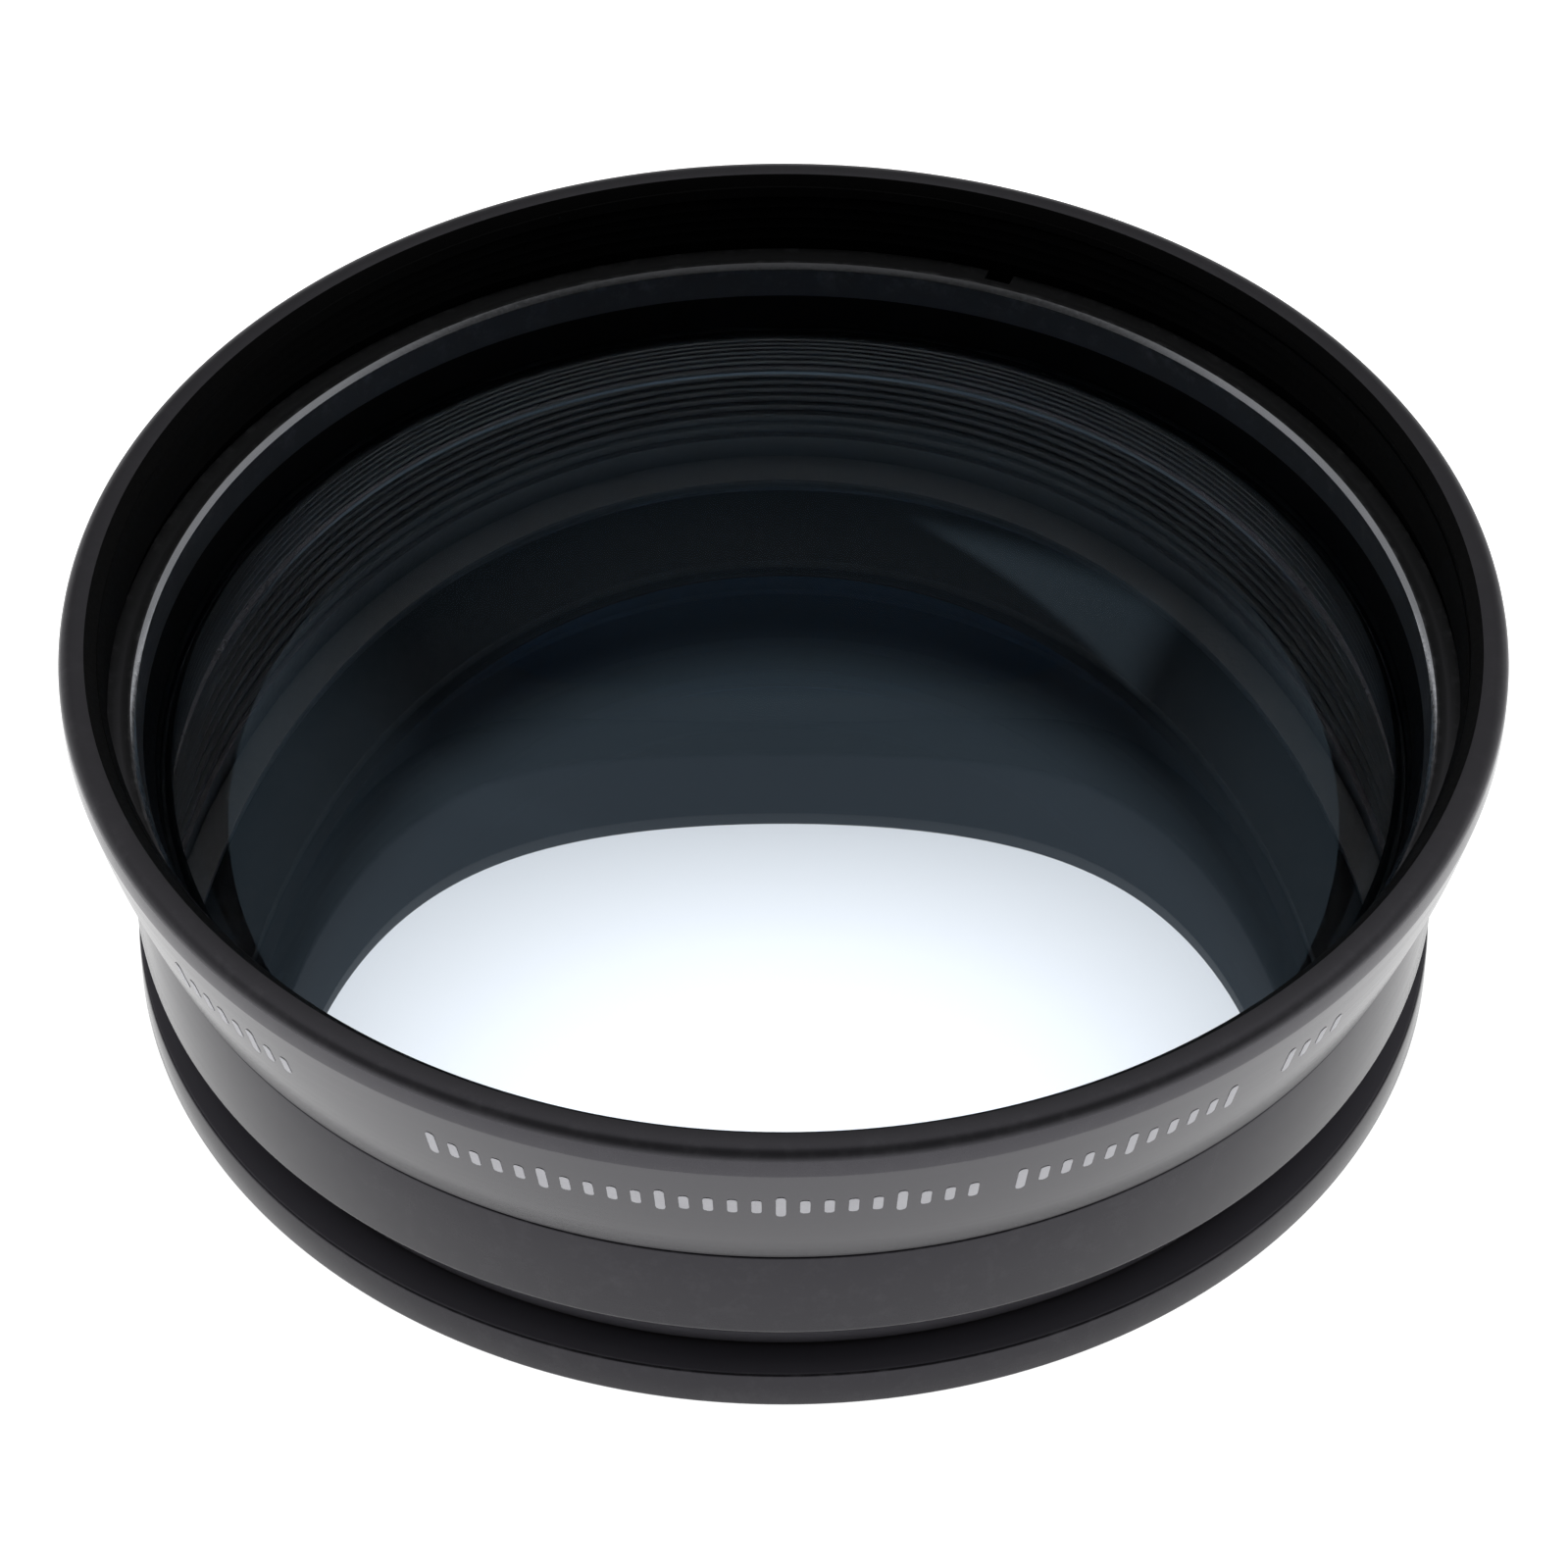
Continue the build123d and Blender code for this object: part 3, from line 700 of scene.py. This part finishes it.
ringSizes = {"radius": 35.9, "mouth": 34.5, "waist": 33.936, "lipWidth": 0.1, "lipRise": 0.1,
             "lipSlope": 0.3, "chamfer": 0.28, "slotAngles": (70, 250), "slotWidth": 1.5,
             "slotLength": 0.8, "slotDepth": 0.8}


def frontRingPath(sizes, slotted):
    ledge = ringLedge - (sizes["slotDepth"] if slotted else 0)
    lipTop = ringLedge + sizes["lipRise"]
    inner = sizes["mouth"] + sizes["lipWidth"]
    slotIn = sizes["radius"] - sizes["slotLength"]
    return softCorners([
        (sizes["radius"], ringFoot), (sizes["radius"], ledge, 0.06), (slotIn + 0.04, ledge),
        (slotIn, ringLedge), (inner + sizes["lipSlope"], ringLedge), (inner, lipTop, 0.2),
        (sizes["mouth"], lipTop, 0.03),
        (sizes["mouth"] - sizes["chamfer"], lipTop - sizes["chamfer"], 0.03),
        (sizes["waist"], ringFoot)])


def slotHalfAngle(sizes):
    return sizes["slotWidth"] / 2 / sizes["radius"]


frontRingShape = frontRingPath(ringSizes, False)
frontRing = turned("front_ring_threaded", frontRingShape, [ringBlack, brightEdge],
                   finishSpans(frontRingShape, lambda r, z: r < ringSizes["mouth"] - 0.01 and
                               z > ringLedge - 0.2),
                   slots=([math.radians(a) for a in ringSizes["slotAngles"]],
                          slotHalfAngle(ringSizes), frontRingPath(ringSizes, True)))
adopt(frontRing, "ring", "front_retaining_ring")

slipSizes = {"outer": 34.3, "waist": 33.936, "outerFoot": 19.244, "innerFoot": 19.695}
slipRing = turned("front_ring_slip", softCorners([
    (slipSizes["outer"], ringFoot - 0.02), (slipSizes["waist"], ringFoot - 0.02, 0.03),
    (clearRadius, slipSizes["innerFoot"], 0.02), (slipSizes["outer"], slipSizes["outerFoot"])]),
    [mouthBlack])
adopt(slipRing, "ring", "front_slip_ring")
print("front rings made")


# Lenses

def groundFace(apex, curve, radius, steps, outward):
    # Points of a spherical face, from the middle out or from the edge in
    points = []
    for step in range(steps + 1):
        r = radius * step / steps
        drop = curve - math.sqrt(curve * curve - r * r)
        points.append((r, apex - drop, 0.0))
    return points if outward else points[::-1]


def lens(name, sizes, frontFinish, backFinish, edgeFinish):
    bevel = sizes["bevel"]
    front = groundFace(sizes["frontApex"], sizes["frontCurve"], sizes["radius"] - bevel,
                       sizes["steps"], False)
    back = groundFace(sizes["backApex"], sizes["backCurve"], sizes["backRadius"],
                      sizes["steps"], True)
    rim = sizes["radius"]
    edge = [(rim, back[-1][1] + bevel, 0.5), (rim, front[0][1] - bevel, 0.5)]
    edgeSpans = [2, 2, 2]
    if sizes["backRadius"] < rim - bevel:
        edge.insert(0, (rim - bevel, back[-1][1], 0.5))
        edgeSpans.insert(0, 3)
    path = back + edge + front
    spans = [1] * (len(back) - 1) + edgeSpans + [0] * (len(front) - 1)
    return turned(name, path, [frontFinish, backFinish, edgeFinish, sizes["margin"]], spans)


crownSizes = {"radius": 34.3, "backRadius": 34.15, "bevel": 0.15, "steps": 60,
              "frontApex": 27.455, "frontCurve": 75.5, "backApex": 19.0996, "backCurve": 800.0,
              "margin": edgeInk}
flintSizes = {"radius": 32.3, "backRadius": 32.15, "bevel": 0.15, "steps": 60,
              "frontApex": 19.0796, "frontCurve": 800.0, "backApex": 18.044,
              "backCurve": 672.0, "margin": edgeInk}
rearSizes = {"radius": 27.0, "backRadius": 23.0, "bevel": 0.15, "steps": 72,
             "frontApex": 5.3926, "frontCurve": 215.0, "backApex": 4.3826, "backCurve": 86.0,
             "margin": rearGlass}
adopt(lens("front_lens_crown", crownSizes, frontGlass, opticalCement, edgeInk),
      "glass", "front_crown_element")
adopt(lens("front_lens_flint", flintSizes, opticalCement, rearGlass, edgeInk),
      "glass", "front_flint_element")
adopt(lens("rear_lens", rearSizes, rearGlass, rearGlass, rearEdgeInkPaintedLight), "glass", "rear_element")
print("lenses made")


# Baffle and the inner parts

def steppedWall(topRadius, topLevel, footRadius, footLevel, steps):
    tread = (topRadius - footRadius) / steps
    riser = (topLevel - footLevel) / steps
    points = []
    for step in range(steps):
        r = topRadius - step * tread
        points += [(r, topLevel - step * riser, 0.04), (r, topLevel - (step + 1) * riser)]
    return points


baffleSizes = {"mouth": 31.6, "top": 16.967, "foot": 29.925, "outer": 32.4, "steps": 6,
               "flangeFoot": 12.434, "flangeTop": 12.934, "flange": 33.9}
baffleCorners = steppedWall(baffleSizes["mouth"], baffleSizes["top"], baffleSizes["foot"],
                            baffleSizes["flangeFoot"], baffleSizes["steps"])
baffleCorners += [(baffleSizes["flange"], baffleSizes["flangeFoot"]),
                  (baffleSizes["flange"], baffleSizes["flangeTop"]),
                  (baffleSizes["outer"], baffleSizes["flangeTop"]),
                  (baffleSizes["outer"], baffleSizes["top"], 0.05)]
adopt(turned("baffle", softCorners(baffleCorners, 2), [baffleBlack]), "baffle", "baffle_cone")

stopSizes = {"inner": 26.12, "outer": 27.45, "foot": 4.204, "top": 4.404}
adopt(turned("light_stop", softCorners([
    (stopSizes["outer"], stopSizes["foot"]), (stopSizes["outer"], stopSizes["top"]),
    (stopSizes["inner"], stopSizes["top"], 0.04), (stopSizes["inner"], stopSizes["foot"], 0.04)]),
    [flatPaint]), "baffle", "rear_light_stop")

cushionSizes = {"frontInner": 32.85, "frontOuter": 34.3, "frontTop": 18.395,
                "frontEdgeTop": 18.334, "rearInner": 23.5, "rearOuter": 27.0,
                "rearFoot": 0.88, "rearTop": 1.22}
adopt(turned("lens_cushion_front", softCorners([
    (cushionSizes["frontInner"], seatLevel + 0.01), (cushionSizes["frontOuter"], seatLevel + 0.01),
    (cushionSizes["frontOuter"], cushionSizes["frontEdgeTop"]),
    (cushionSizes["frontInner"], cushionSizes["frontTop"])]), [sealRubber]),
    "rubber", "front_lens_gasket")
adopt(turned("lens_cushion_rear", softCorners([
    (cushionSizes["rearInner"], cushionSizes["rearFoot"]),
    (cushionSizes["rearOuter"], cushionSizes["rearFoot"]),
    (cushionSizes["rearOuter"], cushionSizes["rearTop"]),
    (cushionSizes["rearInner"], cushionSizes["rearTop"], 0.05)]), [sealRubber]),
    "rubber", "rear_lens_gasket")
shimSizes = {"joint_shim": (32.8, 33.9, 12.964, 13.264), "neck_shim": (31.6, 32.6, 8.234, 8.434)}
for shimName, solid in (("joint_shim", "separation_shim"), ("neck_shim", "mount_shim")):
    inner, outer, foot, top = shimSizes[shimName]
    adopt(turned(shimName, softCorners([(inner, foot), (outer, foot), (outer, top),
                                        (inner, top)]), [shimBrass]), "brass", solid)
sealSizes = {"ringRadius": 33.59, "section": 0.38, "level": 16.404, "sides": 16}
sealPath = []
for k in range(sealSizes["sides"]):
    turn = 2 * math.pi * k / sealSizes["sides"]
    sealPath.append((sealSizes["ringRadius"] + sealSizes["section"] * math.cos(turn),
                     sealSizes["level"] + sealSizes["section"] * math.sin(turn), 0))
adopt(turned("joint_seal", sealPath, [sealRubber]), "rubber", "joint_seal_ring")
print("inner parts made")


# Rear barrel and its grub screws

rearBarrelSizes = {"bore": 31.5, "neck": 33.0, "neckFoot": 8.464, "bandRadius": 35.0,
                   "bandBore": 34.0, "leadIn": 0.3, "grooveWithin": 34.8, "holeRadius": 0.83,
                   "holeLength": 4.0, "holeSides": 32, "screwCount": 3, "firstScrew": 90.0}


def bored(piece, sizes):
    # Cuts the clearance holes through the neck, one after another
    for k in range(sizes["screwCount"]):
        angle = math.radians(sizes["firstScrew"]) + 2 * math.pi * k / sizes["screwCount"]
        tool = bmesh.new()
        bmesh.ops.create_cone(tool, cap_ends=True, segments=sizes["holeSides"],
                              radius1=sizes["holeRadius"] * mm, radius2=sizes["holeRadius"] * mm,
                              depth=sizes["holeLength"] * mm)
        for vert in tool.verts:
            across, side, along = vert.co
            along += (sizes["neck"] + sizes["bore"]) / 2 * mm
            vert.co = (along * math.cos(angle) - side * math.sin(angle),
                       along * math.sin(angle) + side * math.cos(angle),
                       screwLevel * mm - across)
        bmesh.ops.recalc_face_normals(tool, faces=tool.faces)
        toolMesh = bpy.data.meshes.new("neck_hole_tool")
        tool.to_mesh(toolMesh)
        tool.free()
        toolPiece = addPiece("neck_hole_tool", toolMesh)
        cut = piece.modifiers.new("hole", "BOOLEAN")
        cut.object = toolPiece
        cut.operation = "DIFFERENCE"
        graph = bpy.context.evaluated_depsgraph_get()
        result = bpy.data.meshes.new_from_object(piece.evaluated_get(graph), depsgraph=graph)
        piece.modifiers.remove(cut)
        piece.data = result
        bpy.data.objects.remove(toolPiece)
    piece.data.set_sharp_from_angle(angle=math.radians(32))
    return piece


rearBarrelShape = softCorners([
    (rearBarrelSizes["bore"], rearBarrelSizes["neckFoot"]),
    (rearBarrelSizes["neck"], rearBarrelSizes["neckFoot"]),
    (rearBarrelSizes["neck"], grooveTop, 0.05),
    (rearBarrelSizes["bandRadius"], grooveTop, 0.45),
    (rearBarrelSizes["bandRadius"], bandTop, 0.22),
    (rearBarrelSizes["bandBore"] + rearBarrelSizes["leadIn"], bandTop),
    (rearBarrelSizes["bandBore"], bandTop - rearBarrelSizes["leadIn"]),
    (rearBarrelSizes["bandBore"], shoulderLevel),
    (rearBarrelSizes["bore"], shoulderLevel)])
# the groove's walls take the lighter black, painted light in the shaded groove
rearBarrel = turned("rear_barrel_body", rearBarrelShape, [bandBlack, grooveBlackPaintedLight],
                    finishSpans(rearBarrelShape, lambda r, z: z < grooveTop + 0.01 and
                                r < rearBarrelSizes["grooveWithin"]))
adopt(bored(rearBarrel, rearBarrelSizes), "barrel", "rear_barrel")

screwSizes = {"radius": 0.8, "foot": 31.21, "length": 1.59, "point": 0.45, "pitch": 0.35,
              "threadDepth": 0.06, "socket": 0.7, "socketDepth": 0.7, "sides": 24}


def grubScrew(sizes):
    # One threaded grub screw lying along +X, with a cone point and a hexagon socket
    loops = [(0.0, 0.0, False)]
    loops.append((sizes["foot"], sizes["radius"] - sizes["point"], False))
    at = sizes["foot"] + sizes["point"]
    end = sizes["foot"] + sizes["length"]
    while at < end - sizes["pitch"]:
        loops.append((at, sizes["radius"] - sizes["threadDepth"], False))
        loops.append((at + sizes["pitch"] / 2, sizes["radius"], False))
        at += sizes["pitch"]
    loops += [(end - 0.1, sizes["radius"] - 0.02, False), (end, sizes["radius"] - 0.1, False),
              (end, sizes["socket"] / 2, True),
              (end - sizes["socketDepth"], sizes["socket"] / 2, True)]
    verts = [(sizes["foot"], 0, 0)]
    for along, radius, isHex in loops[1:]:
        for k in range(sizes["sides"]):
            angle = 2 * math.pi * k / sizes["sides"]
            reach = radius
            if isHex:
                reach = radius / math.cos((angle + math.pi / 6) % (math.pi / 3) - math.pi / 6)
            verts.append((along, reach * math.cos(angle), reach * math.sin(angle)))
    verts.append((end - sizes["socketDepth"] - 0.1, 0, 0))
    faces = []
    sides = sizes["sides"]
    for k in range(sides):
        faces.append((0, 1 + (k + 1) % sides, 1 + k))
        for ring in range(len(loops) - 2):
            low = 1 + ring * sides
            faces.append((low + k, low + (k + 1) % sides, low + sides + (k + 1) % sides,
                          low + sides + k))
        last = 1 + (len(loops) - 2) * sides
        faces.append((last + k, last + (k + 1) % sides, len(verts) - 1))
    return finishMesh("grub_screw", verts, faces, [blackSteel], [0] * len(faces),
                      [0.5] * len(verts), 30)


oneScrew = grubScrew(screwSizes)
screws = grow("neck_grub_screws", ringTree(), {
    "Piece": oneScrew, "Count": rearBarrelSizes["screwCount"],
    "First Angle": math.radians(rearBarrelSizes["firstScrew"]), "Level": screwLevel * mm,
    "Material": blackSteel})
bpy.data.objects.remove(oneScrew)
adopt(screws, "steel", "mount_grub_screws")
print("rear barrel made")


# Mount ring with its collar and thread

mountSizes = {"boreTop": 29.84, "boreFoot": 27.55, "boreSteps": 8, "lip": 26.17,
              "lensBore": 27.15, "collar": 28.56, "relief": 28.5, "reliefFoot": 5.204,
              "undercut": 0.2, "undercutEdge": 29.1, "spigot": 31.4, "lockDepth": 0.6,
              "threadTurns": 5.2}
mountZones = {"stepsWithin": 30.0, "lensWithin": 27.6, "lipAbove": 3.8, "flangeSide": 34.7}

spigot, lockDepth = mountSizes["spigot"], mountSizes["lockDepth"]
undercutTop = flangeFoot + mountSizes["undercut"]
mountCorners = steppedWall(mountSizes["boreTop"], spigotTop, mountSizes["boreFoot"], boreFoot,
                           mountSizes["boreSteps"])
mountCorners += [
    (mountSizes["boreFoot"], boreFoot - 0.01), (mountSizes["boreFoot"], ledgeLevel, 0.03),
    (mountSizes["lip"], ledgeLevel, 0.04), (mountSizes["lip"], lipFoot, 0.04),
    (mountSizes["lensBore"], lipFoot), (mountSizes["lensBore"], 0.0, 0.12),
    (mountSizes["collar"], 0.0, 0.1), (mountSizes["collar"], mountSizes["reliefFoot"]),
    (mountSizes["relief"], mountSizes["reliefFoot"] + 0.06), (mountSizes["relief"], undercutTop),
    (mountSizes["undercutEdge"], undercutTop), (mountSizes["undercutEdge"], flangeFoot, 0.08),
    (flangeRadius, flangeFoot, 0.2), (flangeRadius, flangeFace, 0.2),
    (spigot, flangeFace), (spigot, screwLevel - lockDepth), (spigot - lockDepth, screwLevel),
    (spigot, screwLevel + lockDepth), (spigot, spigotTop)]
mountShape = softCorners(mountCorners, 3)


def mountFinish(r, z):
    # 1 stepped wall, 2 flange top in lighter black as painted light, 3 ledge and lip, 4 flange
    # side, 5 lens bore in lighter bluish black as painted light, 0 the rest
    if r < mountZones["stepsWithin"] and z > boreFoot + 0.02:
        return 1
    if r < mountZones["lensWithin"]:
        return 3 if z > mountZones["lipAbove"] else 5
    if r > spigot and z > flangeFace - 0.02:
        return 2
    return 4 if r > mountZones["flangeSide"] and z > flangeFoot else 0


mountRing = turned("mount_ring_body", mountShape,
                   [barrelBlack, baffleBlack, grooveBlackPaintedLight, flatPaint, bandBlack, boreBlackPaintedLight],
                   finishSpans(mountShape, mountFinish))
adopt(mountRing, "barrel", "mount_ring")

collarThread = grow("collar_thread", threads, {
    "Wall Radius": mountSizes["collar"] * mm, "Ridge Height": 0.44 * mm, "Root Width": 0.68 * mm,
    "Crest Width": 0.1 * mm, "Pitch": 0.75 * mm, "Turns": mountSizes["threadTurns"],
    "Foot": 0.62 * mm, "Side": 1.0, "Steps": 180, "Fade": 0.05, "Material": barrelBlack})
adopt(collarThread, "barrel")

rearRingSizes = {"radius": 27.05, "opening": 22.6, "foot": 0.15, "top": 0.85, "chamfer": 0.15,
                 "slotAngles": (0, 180), "slotWidth": 1.5, "slotLength": 1.6, "slotDepth": 0.4}


def rearRingPath(sizes, slotted):
    foot = sizes["foot"] + (sizes["slotDepth"] if slotted else 0)
    slotIn = sizes["radius"] - sizes["slotLength"]
    return softCorners([
        (sizes["opening"] + sizes["chamfer"], sizes["foot"], 0.02), (slotIn, sizes["foot"]),
        (slotIn + 0.04, foot), (sizes["radius"], foot, 0.06), (sizes["radius"], sizes["top"]),
        (sizes["opening"], sizes["top"], 0.04),
        (sizes["opening"], sizes["foot"] + sizes["chamfer"], 0.02)])


rearRing = turned("rear_ring_threaded", rearRingPath(rearRingSizes, False), [rearRingBlack],
                  slots=([math.radians(a) for a in rearRingSizes["slotAngles"]],
                         slotHalfAngle(rearRingSizes), rearRingPath(rearRingSizes, True)))
adopt(rearRing, "ring", "rear_retaining_ring")
print("rear parts made")


# Floor, light and camera

stageLook = {"floorSize": 6.0, "floorSpan": 0.12, "coolRadius": 0.027,
             "paintedCoolLight": (0.92, 0.98, 1.05),
             "floorRadii": (0.012, 0.0195, 0.0265, 0.028, 0.038, 0.048, 0.086, 0.112),
             "floorPaintedLight": (1.7, 1.2, 0.5, 1.08, 1.08, 1.55, 1.75, 0.7),
             "skyStops": (0.12, 0.2, 0.67, 0.8), "skyLevels": (1.0, 0.05, 0.05, 0.85),
             "sideRange": (0.32, 0.62), "sideLight": 0.42,
             "windowEdge": (0.686, 0.3255, -0.649), "windowRange": (0.06, 0.09),
             "sillRange": (0.42, 0.5), "curtainRange": (0.42, 0.35), "windowLight": 0.42,
             "frontRange": (-0.45, -0.02), "frontShade": 0.12}


def fillRamp(ramp, stops, colours):
    # A new ramp has two stops already, which take the first two places
    for k, (stop, colour) in enumerate(zip(stops, colours)):
        element = ramp.elements[k] if k < 2 else ramp.elements.new(stop)
        element.position = stop
        element.color = (*colour, 1)


floorMesh = bpy.data.meshes.new("studio_floor")
half = stageLook["floorSize"] / 2
floorMesh.from_pydata([(-half, -half, 0), (half, -half, 0), (half, half, 0), (-half, half, 0)],
                      [], [(0, 1, 2, 3)])
floor = addPiece("studio_floor", floorMesh)
floorMaterial, tree = newMaterial("paleFloorPaintedLightAndShade")
# the floor's glow by its distance is painted light and shade: a painted pool of light under the
# lens, a painted shadow beside the collar, brighter round the part, dimmer far out
fromAxis = node(tree, "ShaderNodeVectorMath", operation="LENGTH", in_Vector=objectPlace(tree))
share = ranged(tree, fromAxis.outputs["Value"], 0.0, stageLook["floorSpan"])
shade = node(tree, "ShaderNodeValToRGB", in_Fac=share)
stops, glows = [], []
for radius, level in zip(stageLook["floorRadii"], stageLook["floorPaintedLight"]):
    # inside the collar the painted light takes a cool tint
    cool = stageLook["paintedCoolLight"] if radius < stageLook["coolRadius"] else (1.0, 1.0, 1.0)
    stops.append(radius / stageLook["floorSpan"])
    glows.append([level * part for part in cool])
fillRamp(shade.color_ramp, stops, glows)
closeMaterial(floorMaterial, tree,
              node(tree, "ShaderNodeEmission", in_Color=shade.outputs["Color"]))
floorMesh.materials.append(floorMaterial)

world = bpy.data.worlds.new("softRoom")
world.use_nodes = True
tree = world.node_tree
tree.nodes.clear()
direction = node(tree, "ShaderNodeTexCoord").outputs["Generated"]
parts = node(tree, "ShaderNodeSeparateXYZ", in_Vector=direction).outputs
sky = node(tree, "ShaderNodeValToRGB", in_Fac=parts["Z"])
sky.color_ramp.interpolation = "EASE"
fillRamp(sky.color_ramp, stageLook["skyStops"],
         [(level, level, level) for level in stageLook["skyLevels"]])
# two tall soft panels stand left and right of the table
aside = calc(tree, "ABSOLUTE", parts["X"])
panels = ranged(tree, aside, *stageLook["sideRange"], 0.0, stageLook["sideLight"], True)
# a window to the right of the back wall, cut off by a straight edge
slant = node(tree, "ShaderNodeVectorMath", operation="DOT_PRODUCT", in_Vector=direction)
slant.inputs[1].default_value = stageLook["windowEdge"]
pane = ranged(tree, slant.outputs["Value"], *stageLook["windowRange"], 0.0,
              stageLook["windowLight"], True)
sill = ranged(tree, parts["Z"], *stageLook["sillRange"], soft=True)
curtain = ranged(tree, parts["X"], *stageLook["curtainRange"], soft=True)
window = calc(tree, "MULTIPLY", pane, calc(tree, "MULTIPLY", sill, curtain))
lit = calc(tree, "MAXIMUM", sky.outputs["Color"], calc(tree, "MAXIMUM", panels, window))
# the room is dark behind the camera
front = ranged(tree, parts["Y"], *stageLook["frontRange"], stageLook["frontShade"], 1.0, True)
room = node(tree, "ShaderNodeBackground", in_Color=calc(tree, "MULTIPLY", lit, front))
node(tree, "ShaderNodeOutputWorld", in_Surface=room.outputs[0])
bpy.context.scene.world = world
bpy.context.scene.view_settings.view_transform = "Standard"

cameraLook = {"distance": 380.0, "elevation": 44.33, "target": 16.774, "lens": 162.9,
              "shiftX": 0.0003, "shiftY": -0.0062}
cameraData = bpy.data.cameras.new("photo_camera")
cameraData.lens = cameraLook["lens"]
cameraData.sensor_width = 36.0
cameraData.shift_x = cameraLook["shiftX"]
cameraData.shift_y = cameraLook["shiftY"]
cameraData.clip_start = 0.01
cameraData.clip_end = 20.0
camera = bpy.data.objects.new("photo_camera", cameraData)
bpy.context.scene.collection.objects.link(camera)
tilt = math.radians(cameraLook["elevation"])
reach = cameraLook["distance"] * mm
camera.location = (0, -reach * math.cos(tilt), cameraLook["target"] * mm + reach * math.sin(tilt))
camera.rotation_euler = (math.pi / 2 - tilt, 0, 0)
bpy.context.scene.camera = camera
print("stage made")
